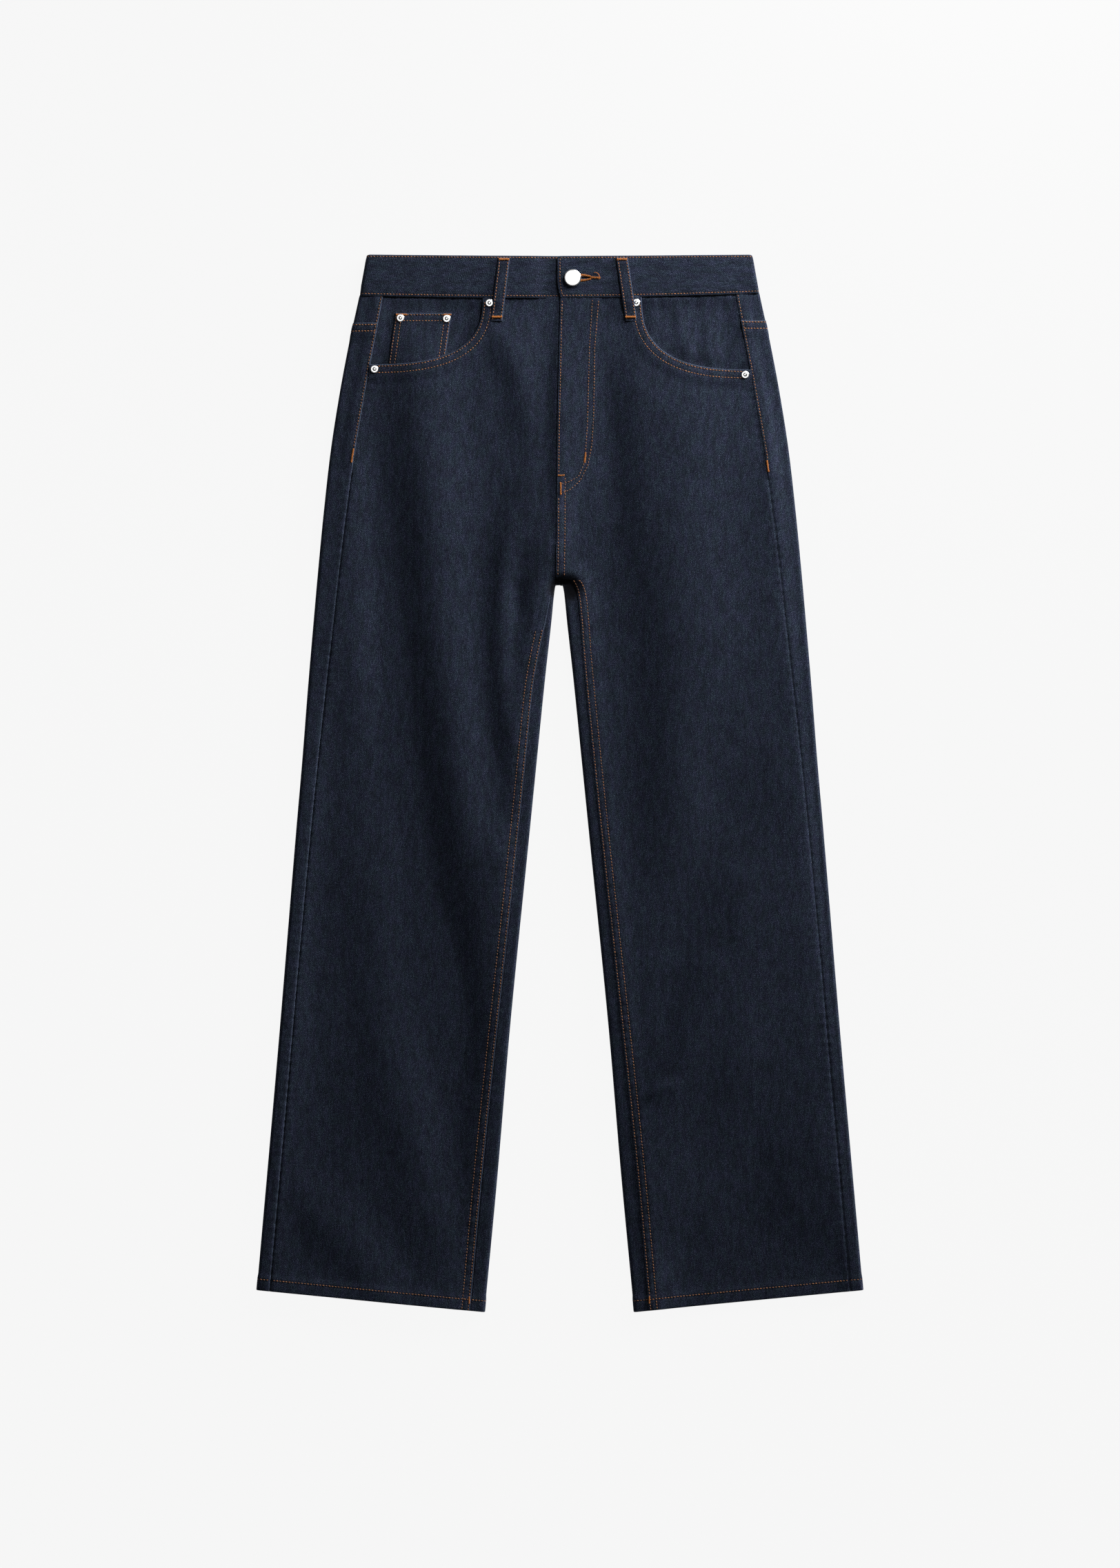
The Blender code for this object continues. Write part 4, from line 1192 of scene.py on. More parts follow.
def back_grid(side):
    """The back's outer face, and the distance of its points from the finished edges."""
    seam_columns = len(SINGLE) + STRIP_CELLS + TURN_CELLS
    share = np.linspace(0, 1, BLEND_ROWS + 1)[1:, None]
    at_side = np.concatenate([
        YOKE_SIDE[side] + np.array(DOUBLE),
        (YOKE_SIDE[side] + DOUBLE[-1]) * (1 - share[:, 0]) + BACK_BLEND_DROP * share[:, 0],
    ])

    def x_drop(x, on_top):
        seam = np.broadcast_to(yoke_seam(side, x, on_top), x.shape)
        near = seam[:len(DOUBLE)] + np.array(DOUBLE)[:, None]
        far = seam[len(DOUBLE):] + DOUBLE[-1]
        return np.concatenate([near, far + (BACK_BLEND_DROP - far) * share])

    drops = np.linspace(BACK_BLEND_DROP, SEAT_DROP, LEVEL_ROWS + 1)[1:]
    section = np.concatenate([
        seat_rows(side, at_side, x_drop),
        seat_rows(side, drops, lambda x, on_top: np.broadcast_to(drops[:, None], x.shape)),
        round_leg_rows(side, *leg_rows(SEAT_DROP + 0.1)),
    ])
    x, drop = section[..., 0], section[..., 1]
    from_top = drop - yoke_seam(side, x, False)
    from_top[:, :seam_columns] = (drop - YOKE_SIDE[side])[:, :seam_columns]
    relief, from_side = side_relief(side, section)
    turned = smooth(x, side_fold(drop) - 9, side_fold(drop) - 2)
    relief = relief + double_edge(from_top, RISE - 0.1 - 0.6 * turned)
    from_hem = hem_line(x) - drop
    underneath = section[..., 4] < -0.9
    relief = relief + np.where(underneath, pressed(from_hem, STITCH_HEM) * -2, hem_edge(from_hem))
    from_seat = np.where(underneath & (drop < SEAT_DROP + 1), x - CENTRE_SEAM, FAR)
    if side == LEFT:
        seat_lap = 1 - smooth(drop, *SEAT_LAP_DROP)
        relief = relief + seat_lap * double_edge(from_seat, RISE - 0.1)
        relief = relief + (1 - seat_lap) * plain_seam(from_seat)
    else:
        relief = relief + smooth(drop, *SEAT_LAP_DROP) * plain_seam(from_seat)
    edge = np.minimum.reduce([from_top, from_side, from_hem, from_seat])
    return with_relief(side, section, relief), unrolled(side, section), edge


def yoke_grid(side):
    """The yoke's outer face, from the waist seam to its lower edge under the back."""
    share = np.linspace(0, 1, YOKE_ROWS)[:, None]

    def x_drop(x, on_top):
        start = waist_seam(side * x) + 0.1 - BAND_TUCK
        return start + (yoke_seam(side, x, on_top) + TUCK - start) * share

    at_side = x_drop(np.full((1, 1), WAIST_HALF), True)[:, 0]
    section = seat_rows(side, at_side, x_drop)
    x, drop = section[..., 0], section[..., 1]
    relief, from_side = side_relief(side, section)
    from_seat = np.where(section[..., 4] < -0.9, x - CENTRE_SEAM, FAR)
    if side == LEFT:
        relief = relief + double_edge(from_seat, RISE - 0.1)
    relief = relief - 0.6 * roll(drop - waist_seam(side * x))
    return with_relief(side, section, relief), unrolled(side, section), from_side


def unrolled(side, section):
    """Place on the flat cloth: the length along each row, signed by the side, and the drop."""
    run = run_along(section[..., 0], section[..., 2])
    return flat_place(side * (section[:, :1, 0] + run), section[..., 1])


# ---- the waistband
def folded_over(upper, lower):
    """|x| inside which the waistband's rows lie flat, half its thickness, and the turn's angles."""
    share = np.concatenate([upper, BAND_HEIGHT - lower]) / BAND_HEIGHT
    start = waist_edge(EDGE_FOLD)
    half = side_fold(start + (waist_seam(SEAM_FOLD) - start) * share)
    half[:len(upper)] -= rounded(upper, *BAND_SHOULDER)
    radius = (BAND_TOP - LIFT) / 2
    return (half - radius)[:, None], radius, np.linspace(math.pi / 2, -math.pi / 2, TURN_CELLS + 1)


def free_end(upper, lower):
    """How far each row's free end stands back: a rounded upper corner, and a lean at the foot."""
    corner = np.append(rounded(upper, *BAND_CORNER), 0 * lower)
    lean = 3.2 * smooth(np.concatenate([upper, BAND_HEIGHT - lower]), 26, 40)
    return (corner + lean)[:, None]


def round_eye(grid, first_row, first_column):
    """Moves the points about the buttonhole's eye from squares to circles; those of the slit keep
    their distance from its middle."""
    size = HOLE_CELLS + 1
    block = (slice(first_row, first_row + size), slice(first_column, first_column + size))
    dx = grid[block][..., 0] - BUTTON_X
    dy = grid[block][..., 1] - (LENGTH / 2 - BUTTON_DROP)
    square = np.maximum(abs(dx), abs(dy)) + 1e-9
    share = square / np.hypot(dx, dy)
    slit = (abs(dy) < SLIT_HALF + 0.1) & (dx > 0)
    grid[block][..., 0] = BUTTON_X + dx * share
    grid[block][..., 1] = LENGTH / 2 - BUTTON_DROP + np.where(slit, dy, dy * share)


def waistband_grid():
    """The band's outer face, carried from its lapping end over the left side, along the underside
    and back over the right side to the covered end. Rows lie at even distances from both edges and
    close together round the buttonhole. Also gives the mask of the cells that it leaves out."""
    hole = np.array([-EYE_RADIUS, -EYE_CORNER, -SLIT_HALF, SLIT_HALF, EYE_CORNER, EYE_RADIUS])
    eye = BUTTON_DROP - waist_edge(BUTTON_X)
    upper = np.concatenate([SINGLE[:-1], [8.0, 12.0, 16.0], eye + hole, [26.0, 30.0]])
    lower = np.array(BAND_LOW[::-1])
    inside, radius, turn = folded_over(upper, lower)
    ones = np.ones((len(inside), 1))

    near = BAND_END + free_end(upper, lower) + np.array(BAND_FREE)
    around_eye = BUTTON_X + np.concatenate([hole, np.linspace(3.0, SLIT_END, SLIT_CELLS)])
    rest = np.linspace(34.5, 182.0, 62)[:-1]
    even = ones * np.concatenate([[9.0], around_eye, rest])
    on_left = np.concatenate([near, even, inside - 1.5], axis=1)
    under = inside * np.linspace(1, -1, 151)[1:-1]
    on_right = -inside + (BAND_UNDER_END + inside) * np.linspace(0, 1, 101)[1:]
    centre_z = LIFT + radius
    crown = side_dip(inside, BAND_MIDDLE) * np.maximum(np.sin(turn), 0)
    cos, sin = np.cos(turn), np.sin(turn)
    back_cos, back_sin = np.cos(turn[::-1]), np.sin(turn[::-1])
    over_right = -inside - radius * back_cos
    section = np.concatenate([
        section_of(on_left, 0, BAND_TOP - side_dip(on_left, BAND_MIDDLE), 0, 1),
        section_of(inside + radius * cos, 0, centre_z + radius * sin - crown, cos, sin),
        section_of(under, 0, LIFT, 0, -1),
        section_of(over_right, 0, centre_z + radius * back_sin, -back_cos, back_sin),
        section_of(on_right, 0, BAND_TOP - BAND_SINK * smooth(on_right, *BAND_SINK_X), 0, 1),
    ], axis=1)
    x, _, z, out_x, out_z = np.moveaxis(section, -1, 0)

    total = waist_seam(x) - waist_edge(x)
    from_top = np.broadcast_to(np.append(upper, 0 * lower)[:, None], x.shape).copy()
    from_low = np.broadcast_to(np.append(0 * upper, lower)[:, None], x.shape).copy()
    from_top[len(upper):] = (total - from_low)[len(upper):]
    from_low[:len(upper)] = (total - from_top)[:len(upper)]
    drop = waist_edge(x) + from_top
    run = run_along(x, z)

    free = np.where(np.arange(x.shape[1]) < on_left.shape[1], x - near[:, :1], FAR)
    relief = 0.2 * smooth(np.minimum(from_top, from_low), 0, 5)
    lines = ((from_top, STITCH_IN), (from_low, BAND_LOW[BAND_LINE]), (free, BAND_FREE[FREE_LINE]))
    for distance, line in lines:
        relief = relief - roll(distance) - pressed(distance, line)
    relief = relief + 0.7 * ripple_height(run / 1.3, drop) + pucker("band_seam", run, from_low)
    relief = relief + pucker("band_edge", run, from_top)
    relief = np.where(out_z < -0.9, np.minimum(relief, 0.9), relief)
    grid = points(x + out_x * relief, drop, np.maximum(z + out_z * relief, 0.0))

    first_row, first_column = len(SINGLE) + 2, near.shape[1] + 1
    end_row, end_column = first_row + HOLE_CELLS, first_column + HOLE_CELLS
    round_eye(grid, first_row, first_column)
    holes = np.zeros((x.shape[0] - 1, x.shape[1] - 1), bool)
    holes[first_row:end_row, first_column:end_column] = True
    holes[first_row + 2, end_column:end_column + SLIT_CELLS] = True
    edge = np.minimum.reduce([from_top, from_low, free])
    return grid, np.stack([drop, run], axis=-1), edge, holes


# ---- what is sewn on
def facing_grid(side):
    """The cloth inside a front pocket's opening: level with the seams, and sunk between them."""
    share = np.linspace(0, 1, 40)[:, None]
    inner = SCOOP_TOP[side] - FACING_REACH
    start = waist_seam(side * inner) - TUCK
    drop = start + (SCOOP_DEPTH[side] + FACING_REACH - start) * share
    x = inner + (side_seam(drop) + FACING_TUCK - inner) * np.linspace(0, 1, 50)
    x, drop = np.broadcast_arrays(x, drop)
    waist = drop - waist_seam(side * x)
    sunk = smooth(side_seam(drop) - x, 0, 16) * smooth(waist, 0, 14)
    z = top(side * x, drop) - 0.1 - FACING_SINK * sunk
    folds = 0.5 * noise(x / 9 + 3, drop / 34, 41 + side) * sunk
    line_x, line_drop = scoop_line(side)
    scoop = distance_to(x, drop, line_x[::6], line_drop[::6])
    z = z + folds - 0.2 * (1 - smooth(waist, 0, 1.2)) - 0.9 * (waist < 0)
    z = z - 0.9 * np.exp(-((scoop / 8) ** 2)) * smooth(waist, 0, 10) * (side * x > 0)
    return points(side * x, drop, z), flat_place(side * x, drop)


def coin_grid():
    """The coin pocket: double stitching along its top and its sides."""
    top_row, low_row = COIN
    length = low_row["drop"] - top_row["drop"]
    down = spread(length, DOUBLE, (0,), 22)[:, None]
    share = down / length
    outer = top_row["outer"] + (low_row["outer"] - top_row["outer"]) * share
    inner = top_row["inner"] + (low_row["inner"] - top_row["inner"]) * share
    x = outer + spread((inner - outer)[:, 0], COIN_SIDE, COIN_SIDE, 14)
    drop = np.broadcast_to(top_row["drop"] + down, x.shape)
    from_side = np.minimum(x - outer, inner - x)
    z = top(x, drop) + 0.1 + 0.25 * (1 - smooth(down, 8, 10)) + 0.15 * noise(x / 11, drop / 13, 44)
    z = z - roll(down) - roll(from_side) - pressed(down, STITCH_IN, DOUBLE[COIN_TOP_LINE])
    z = z - pressed(from_side, *(COIN_SIDE[line] for line in COIN_LINES))
    z = z - 1.8 * smooth(drop, *COIN_SINK)
    return points(x, drop, z), flat_place(x, drop), np.minimum(down, from_side)


def back_pocket_grid(side):
    """A patch pocket with a pointed foot, flat on the table, lifted a little along its stitches."""
    down = spread(POCKET_SIDE, DOUBLE, DOUBLE, 30)[:, None]
    share = down / POCKET_SIDE
    width = POCKET_TOP_WIDTH + (POCKET_LOW_WIDTH - POCKET_TOP_WIDTH) * share
    across = spread(width[:, 0], DOUBLE, DOUBLE, 30) - width / 2
    point = POCKET_POINT * (1 - 2 * abs(across) / width) * share
    drop = POCKET_DROP + down + point
    from_side = width / 2 - abs(across)
    from_foot = POCKET_SIDE - down
    edge = np.minimum(np.minimum(from_side, from_foot), down)
    seams = np.minimum(from_side, from_foot)
    z = 0.4 * (1 - smooth(edge, 9.5, 12)) + roll(down) + roll(seams)
    z = z + 0.15 * pressed(seams, STITCH_IN, STITCH_OUT) / GROOVE
    x = side * POCKET_CENTRE + across
    return points(x, drop, z), flat_place(x, drop), edge


def loop_relief(across, down, length):
    """Relief of a belt loop: rolled sides, two rows of stitches and ends folded under. Also its
    distance from the nearest edge."""
    from_side = LOOP_WIDTH / 2 - abs(across)
    from_end = np.minimum(down, length - down)
    relief = 0.35 * (1 - smooth(from_end, 7, 10)) - roll(from_side) - roll(from_end)
    relief = relief - pressed(from_side, LOOP_SIDE[LOOP_LINE])
    relief = relief - 0.35 * np.exp(-(((from_end - 2.0) / 1.3) ** 2))
    return relief, np.minimum(from_side, from_end)


def loop_places(rows):
    """Where a belt loop has its points: x from its middle, distances down it, and its length."""
    length = LOOP_FOOT - LOOP_TOP
    half = np.array(LOOP_SIDE)
    across = np.concatenate([half - LOOP_WIDTH / 2, (LOOP_WIDTH / 2 - half)[-2::-1]])
    return across, spread(length, LOOP_ENDS, LOOP_ENDS, rows)[:, None], length


def front_loop_grid(top_x, foot_x):
    """A belt loop over the waistband, bowed up a little, sewn down at its top and at its foot."""
    across, down, length = loop_places(34)
    share = down / length
    centre = top_x + (foot_x - top_x) * share
    drop = LOOP_TOP + down
    under = BAND_TOP + (top(centre, drop) - BAND_TOP) * smooth(drop, *BAND_STEP)
    relief, edge = loop_relief(across, down, length)
    z = under + LAP + LOOP_BOW * np.sin(math.pi * share) + relief
    x = centre + across
    drop = np.broadcast_to(drop, x.shape)
    return points(x, drop, z), flat_place(across + 0 * x, drop), edge


def back_loop_grid(centre):
    """A belt loop under the waistband, flat on the table."""
    across, down, length = loop_places(18)
    relief, edge = loop_relief(across, down, length)
    z = 0.4 - relief
    drop = np.broadcast_to(LOOP_TOP + down, z.shape)
    return points(centre + across, drop, z), flat_place(across + 0 * z, drop), edge


# ---- materials
class Term:
    """An output socket of a shader; arithmetic on it adds Math nodes."""

    def __init__(self, shader, socket):
        self.shader, self.socket = shader, socket

    def math(self, operation, *values):
        """One operation on the given values, or on this one alone."""
        values = dict(enumerate(values or (self,)))
        return self.shader.node("ShaderNodeMath", {"operation": operation}, values)["Value"]

    def __add__(self, other):
        return self.math("ADD", self, other)

    def __mul__(self, other):
        return self.math("MULTIPLY", self, other)

    def __sub__(self, other):
        return self.math("SUBTRACT", self, other)

    def __truediv__(self, other):
        return self.math("DIVIDE", self, other)

    def __rsub__(self, other):
        return self.math("SUBTRACT", other, self)

    def __rtruediv__(self, other):
        return self.math("DIVIDE", other, self)

    __radd__ = __add__
    __rmul__ = __mul__

    def ramp(self, start, end):
        """0 up to start, 1 from end on, a smooth step between."""
        settings = {"interpolation_type": "SMOOTHSTEP"}
        values = {"Value": self, "From Min": start, "From Max": end}
        return self.shader.node("ShaderNodeMapRange", settings, values)["Result"]


class Shader:
    """A material or world with a cleared node tree."""

    def __init__(self, owner):
        owner.use_nodes = True
        self.owner, self.tree = owner, owner.node_tree
        self.tree.nodes.clear()

    def node(self, kind, settings=None, values=None):
        """Adds a node: its settings first, then its sockets' values or links."""
        made = self.tree.nodes.new(kind)
        for name, value in (settings or {}).items():
            setattr(made, name, value)
        for name, value in (values or {}).items():
            if isinstance(value, Term):
                self.tree.links.new(value.socket, made.inputs[name])
            else:
                made.inputs[name].default_value = value
        return {socket.name: Term(self, socket) for socket in made.outputs if socket.enabled}

    def mix(self, factor, first, second, blend="MIX"):
        """Two colours mixed by a factor; they are sockets 6 and 7 of the node."""
        settings = {"data_type": "RGBA", "blend_type": blend, "clamp_factor": True}
        return self.node("ShaderNodeMix", settings, {0: factor, 6: first, 7: second})["Result"]

    def noise(self, x, y, z=0.0, detail=0.0):
        """Soft noise about 0.5 at the given place."""
        place = self.node("ShaderNodeCombineXYZ", None, {"X": x, "Y": y, "Z": z})["Vector"]
        values = {"Vector": place, "Scale": 1.0, "Detail": detail}
        return self.node("ShaderNodeTexNoise", {"noise_dimensions": "3D"}, values)["Fac"]

    def attribute(self, name):
        """A value that the mesh carries at its points."""
        return self.node("ShaderNodeAttribute", {"attribute_name": name})["Fac"]

    def axes(self, place):
        """X, Y and Z of a vector."""
        return self.node("ShaderNodeSeparateXYZ", None, {"Vector": place})

    def surface(self, values):
        """Ends the material with one surface, and gives it back."""
        bsdf = self.node("ShaderNodeBsdfPrincipled", None, values)["BSDF"]
        self.node("ShaderNodeOutputMaterial", None, {"Surface": bsdf})
        return self.owner


def colour(value, share=1.0):
    """A setting's colour with its opacity, made darker or lighter by a share."""
    return (*(channel * share for channel in value), 1.0)


def denim(name, inside=False):
    """Yarn-dyed twill: pale weft shows between diagonal indigo lines, which noise along and across
    them breaks up, with sparse bright flecks. Single yarns differ along their length and patches
    lean to blue or green. Finished edges get a painted highlight, flecked like pale weft, and the
    map
    "shade" paints shade into the hollow at the crotch. Places come from the map "cloth", in
    millimetres."""
    settings = bpy.context.scene.jeans_cloth
    shader = Shader(bpy.data.materials.new(name))
    parts = shader.axes(shader.node("ShaderNodeUVMap", {"uv_map": "cloth"})["UV"])
    u, v = parts["X"] * 1000.0, parts["Y"] * 1000.0
    step = settings.twill / MM
    along_twill, across_twill = (u + v) * 0.7071, (u - v) * 0.7071
    wander = shader.noise(u / 3.5, v / 4.5, 3.0) * 0.5
    lines = ((across_twill / step + wander) * (2 * math.pi)).math("SINE") * 0.5 + 0.5
    yarn = shader.noise(u / 0.8, v / 7.0, 1.0)
    pick = shader.noise(u / 9.0, v / 0.8, 2.0)
    grain = shader.noise(along_twill / 1.0, across_twill / 0.5, 4.0, 1.0)
    cross = shader.noise(along_twill / 0.5, across_twill / 1.0, 7.0)
    fleck = shader.noise(along_twill / 0.75, across_twill / 0.6, 5.0)
    pale = (lines * 0.12 + (grain - 0.5) * 1.15 + (cross - 0.5) * 0.9 + (yarn - 0.5) * 0.36
            + (pick - 0.5) * 0.12 + fleck.ramp(0.62, 0.80) * 1.3 + 0.02)
    if inside:
        base = shader.mix(pale, colour(settings.inside), colour(settings.inside, 1.5))
    else:
        base = shader.mix(pale, colour(settings.warp), colour(settings.weft))
    patch = shader.noise(u / 6.0, v / 11.0, 9.0, 1.0)
    cool = shader.mix(patch.ramp(0.34, 0.66), (1.03, 0.96, 1.07, 1), (0.93, 1.04, 0.97, 1))
    base = shader.mix(1.0, base, cool, "MULTIPLY")
    streak = (shader.noise(u / 5.0, v / 22.0, 13.0, 1.0) * 0.55
              + shader.noise(u / 1.5, v / 6.0, 17.0, 1.0) * 0.45)
    tone = shader.mix(streak.ramp(0.30, 0.70), (0.70, 0.70, 0.70, 1), (1.32, 1.32, 1.32, 1))
    base = shader.mix(1.0, base, tone, "MULTIPLY")
    # painted highlight: near a finished edge the colour turns pale in flecks, like weft showing
    edge_highlight = (1.0 - shader.attribute("edge").ramp(0.2, 1.3)) * fleck.ramp(0.3, 0.62)
    base = shader.mix(edge_highlight * 0.5, base, colour(settings.weft, 1.35))
    # painted shade: where the "shade" map is high, in the hollow at the crotch, the colour goes
    # almost black
    base = shader.mix(shader.attribute("shade") * 0.93, base, (0.002, 0.002, 0.003, 1))
    height = lines * 0.5 + (grain + cross) * 0.5 + yarn * 0.4
    yarns = {"Strength": 0.35, "Distance": 0.0002, "Height": height}
    return shader.surface({
        "Base Color": base,
        "Roughness": 0.86,
        "Specular IOR Level": 0.08,
        "Normal": shader.node("ShaderNodeBump", None, yarns)["Normal"],
    })


def thread(name, dark, light):
    """Sewing thread: each stitch has its own mixture of two colours, with fine light and dark
    bands across it."""
    shader = Shader(bpy.data.materials.new(name))
    parts = shader.axes(shader.node("ShaderNodeTexCoord")["Object"])
    grain = shader.noise(parts["X"] * 2600.0, parts["Y"] * 2600.0)
    share = shader.attribute("tint") * 0.75 + grain * 0.5 - 0.12
    base = shader.mix(share, colour(dark), colour(light))
    return shader.surface({"Base Color": base, "Roughness": 0.7, "Specular IOR Level": 0.15})


def silver(name):
    """Polished pale metal with faint uneven gloss."""
    settings = bpy.context.scene.jeans_metal
    shader = Shader(bpy.data.materials.new(name))
    parts = shader.axes(shader.node("ShaderNodeTexCoord")["Object"])
    haze = shader.noise(parts["X"] * 420.0, parts["Y"] * 420.0, 0.0, 2.0)
    return shader.surface({
        "Base Color": colour(settings.colour),
        "Metallic": 1.0,
        "Roughness": settings.roughness + haze * 0.12 - 0.06,
    })


def finish(name):
    """One of the garment's materials, made when it is first asked for."""
    known = bpy.data.materials.get(name)
    if known is not None:
        return known
    threads = bpy.context.scene.jeans_thread
    if name == "denim_face":
        return denim(name)
    if name == "denim_inside":
        return denim(name, inside=True)
    if name == "topstitch_thread":
        return thread(name, threads.rust, threads.tan)
    if name == "bartack_thread":
        return thread(name, [0.5 * value for value in threads.tack], threads.tack)
    return silver(name)


# ---- operators
class FrontsOperator(bpy.types.Operator):
    """Make the two fronts, from the waist seam to the hem"""
    bl_idname = "jeans.fronts"
    bl_label = "Fronts"

    def execute(self, context):
        corner = len(DOUBLE) + BLEND_ROWS + LEVEL_ROWS - 1
        for side, word in SIDES.items():
            grid, x, drop = front_grid(side)
            inner, scoop, _, hem = front_edges(side, x, drop)
            edge = np.minimum.reduce([inner, scoop, hem])
            # the hollow at the crotch gets painted shade through the "shade" map
            cloth("front_panel_" + word, grid, flat_place(x, drop), edge, ["front_" + word],
                  shade=hollow_shade(x, drop), flat_rows=(corner, corner + CORNER_ROWS + 1))
        return {"FINISHED"}


class BacksOperator(bpy.types.Operator):
    """Make the two backs, which turn over the side folds and round the legs"""
    bl_idname = "jeans.backs"
    bl_label = "Backs"

    def execute(self, context):
        for side, word in SIDES.items():
            grid, grain, edge = back_grid(side)
            # painted shade for the back's strips in the hollow at the crotch
            shade = hollow_shade(grid[..., 0], LENGTH / 2 - grid[..., 1])
            cloth("back_panel_" + word, grid, grain, edge, ["back_" + word], shade=shade)
        return {"FINISHED"}


class YokesOperator(bpy.types.Operator):
    """Make the two yokes between the waistband and the backs"""
    bl_idname = "jeans.yokes"
    bl_label = "Yokes"

    def execute(self, context):
        for side, word in SIDES.items():
            cloth("yoke_panel_" + word, *yoke_grid(side), ["yoke_" + word])
        return {"FINISHED"}


class WaistbandOperator(bpy.types.Operator):
    """Make the waistband with its keyhole buttonhole"""
    bl_idname = "jeans.waistband"
    bl_label = "Waistband"

    def execute(self, context):
        *places, holes = waistband_grid()
        cloth("waistband_strip", *places, ["waistband"], wall=BAND_WALL, holes=holes)
        return {"FINISHED"}


class PocketsOperator(bpy.types.Operator):
    """Make the pocket facings, the coin pocket and the patch pockets of the seat"""
    bl_idname = "jeans.pockets"
    bl_label = "Pockets"

    def execute(self, context):
        for side, word in SIDES.items():
            cloth("facing_" + word, *facing_grid(side), FAR, ["pocket_facing_" + word])
            patch = back_pocket_grid(side)
            cloth("patch_pocket_" + word, *patch, ["back_pocket_" + word], up=False)
        cloth("coin_pocket_cloth", *coin_grid(), ["coin_pocket"])
        return {"FINISHED"}


class LoopsOperator(bpy.types.Operator):
    """Make the five belt loops"""
    bl_idname = "jeans.loops"
    bl_label = "Belt loops"

    def execute(self, context):
        for word, ends in LOOPS_FRONT.items():
            cloth("loop_front_" + word, *front_loop_grid(*ends), ["belt_loop_front_" + word])
        for word, centre in LOOPS_BACK.items():
            cloth("loop_" + word, *back_loop_grid(centre), ["belt_loop_" + word], up=False)
        return {"FINISHED"}


def sew_waist():
    """The waistband along both edges and its free end, and the sides of the belt loops."""
    sewing = Sewing(3)
    band = waistband_grid()[0]
    sewing.lines(band, True, rows=(INNER_LINE, -1 - BAND_LINE), skip=1.8)
    sewing.lines(band, True, columns=(FREE_LINE,), part=slice(INNER_LINE, -BAND_LINE))
    sides = (LOOP_LINE, -1 - LOOP_LINE)
    for ends in LOOPS_FRONT.values():
        sewing.lines(front_loop_grid(*ends)[0], True, columns=sides, skip=1.5)
    for centre in LOOPS_BACK.values():
        sewing.lines(back_loop_grid(centre)[0], False, columns=sides, skip=1.5)
    sewing.make("topstitch_waist", "topstitch_thread")


def sew_front(fronts):
    """The pocket openings, the fly and the coin pocket."""
    sewing = Sewing(4)
    opening = slice(len(DOUBLE) + WAIST_CELLS - 1, -4)
    for grid, _, _ in fronts.values():
        sewing.lines(grid, True, rows=(INNER_LINE, OUTER_LINE), part=opening, skip=0.8, tone=MIXED)
    grid, _, drop = fronts[LEFT]
    for column, start, end in FLY_ROWS:
        part = (drop[:, column] > start) & (drop[:, column] < end)
        sewing.lines(grid, True, columns=(column,), part=part, tone=RUST)
    for line in FLY_STITCHES:
        sewing.seam(*front_line(LEFT, line["x"], line["drop"]), tone=RUST)
    coin = coin_grid()[0]
    sewing.lines(coin, True, rows=(INNER_LINE, COIN_TOP_LINE), skip=1.2)
    columns = (*COIN_LINES, *(-1 - line for line in COIN_LINES))
    sewing.lines(coin, True, columns=columns, skip=1.5)
    sewing.make("topstitch_front", "topstitch_thread")


def sew_legs(fronts, backs):
    """The inseams and the hems."""
    sewing = Sewing(5)
    for side, (grid, _, drop) in fronts.items():
        start = CROTCH_DROP - 0.01 if side == LEFT else RIGHT_INSEAM_SHOWS
        for column in (INNER_LINE, OUTER_LINE):
            sewing.lines(grid, True, columns=(column,), part=drop[:, column] > start, tone=RUST)
        for panel in (grid, backs[side]):
            sewing.lines(panel, True, rows=(-1 - HEM_LINE,), skip=0.5)
    sewing.make("topstitch_legs", "topstitch_thread")


def sew_seat(backs):
    """The lapped side seams, the yoke seams, the seat seam and the patch pockets."""
    sewing = Sewing(6)
    for side, back in backs.items():
        drop = LENGTH / 2 - back[..., 1]
        yoke = yoke_grid(side)[0]
        lapped_part = drop[:, INNER_LINE] < SIDE_TACK[side][0]
        sewing.lines(back, True, columns=(INNER_LINE,), part=lapped_part, tone=DULL)
        sewing.lines(back, True, rows=(INNER_LINE, OUTER_LINE), skip=0.5, tone=BRIGHT)
        sewing.lines(yoke, True, columns=(INNER_LINE,), part=slice(0, -1), tone=DULL)
        if side == LEFT:
            for column in (-1 - INNER_LINE, -1 - OUTER_LINE):
                seat_part = drop[:, column] < SEAT_LAP_DROP[1]
                sewing.lines(back, True, columns=(column,), part=seat_part)
                sewing.lines(yoke, True, columns=(column,), part=slice(0, -1))
        pocket = back_pocket_grid(side)[0]
        for line in (INNER_LINE, OUTER_LINE):
            sewing.lines(pocket, False, (line, -1 - line), (line, -1 - line), skip=1.0)
    sewing.make("topstitch_seat", "topstitch_thread")


class TopstitchOperator(bpy.types.Operator):
    """Sew the topstitching of every seam, as one piece for each part of the garment"""
    bl_idname = "jeans.topstitch"
    bl_label = "Topstitching"

    def execute(self, context):
        fronts = {side: front_grid(side) for side in SIDES}
        backs = {side: back_grid(side)[0] for side in SIDES}
        sew_waist()
        sew_front(fronts)
        sew_legs(fronts, backs)
        sew_seat(backs)
        return {"FINISHED"}


def front_line(side, x, drop, step=0.8):
    """A line on a front through the given places, with its normals from the height's slopes."""
    run = run_along(x, drop)
    at = np.arange(0, run[-1], step)
    x, drop = np.interp(at, run, x), np.interp(at, run, drop)
    z = front_height(side, x, drop)
    near = 0.4
    slope_x = front_height(side, x + near, drop) - front_height(side, x - near, drop)
    slope_y = front_height(side, x, drop - near) - front_height(side, x, drop + near)
    normal = np.stack([-slope_x / (2 * near), -slope_y / (2 * near), np.ones_like(x)], axis=-1)
    return points(x, drop, z), normal / np.linalg.norm(normal, axis=-1, keepdims=True)


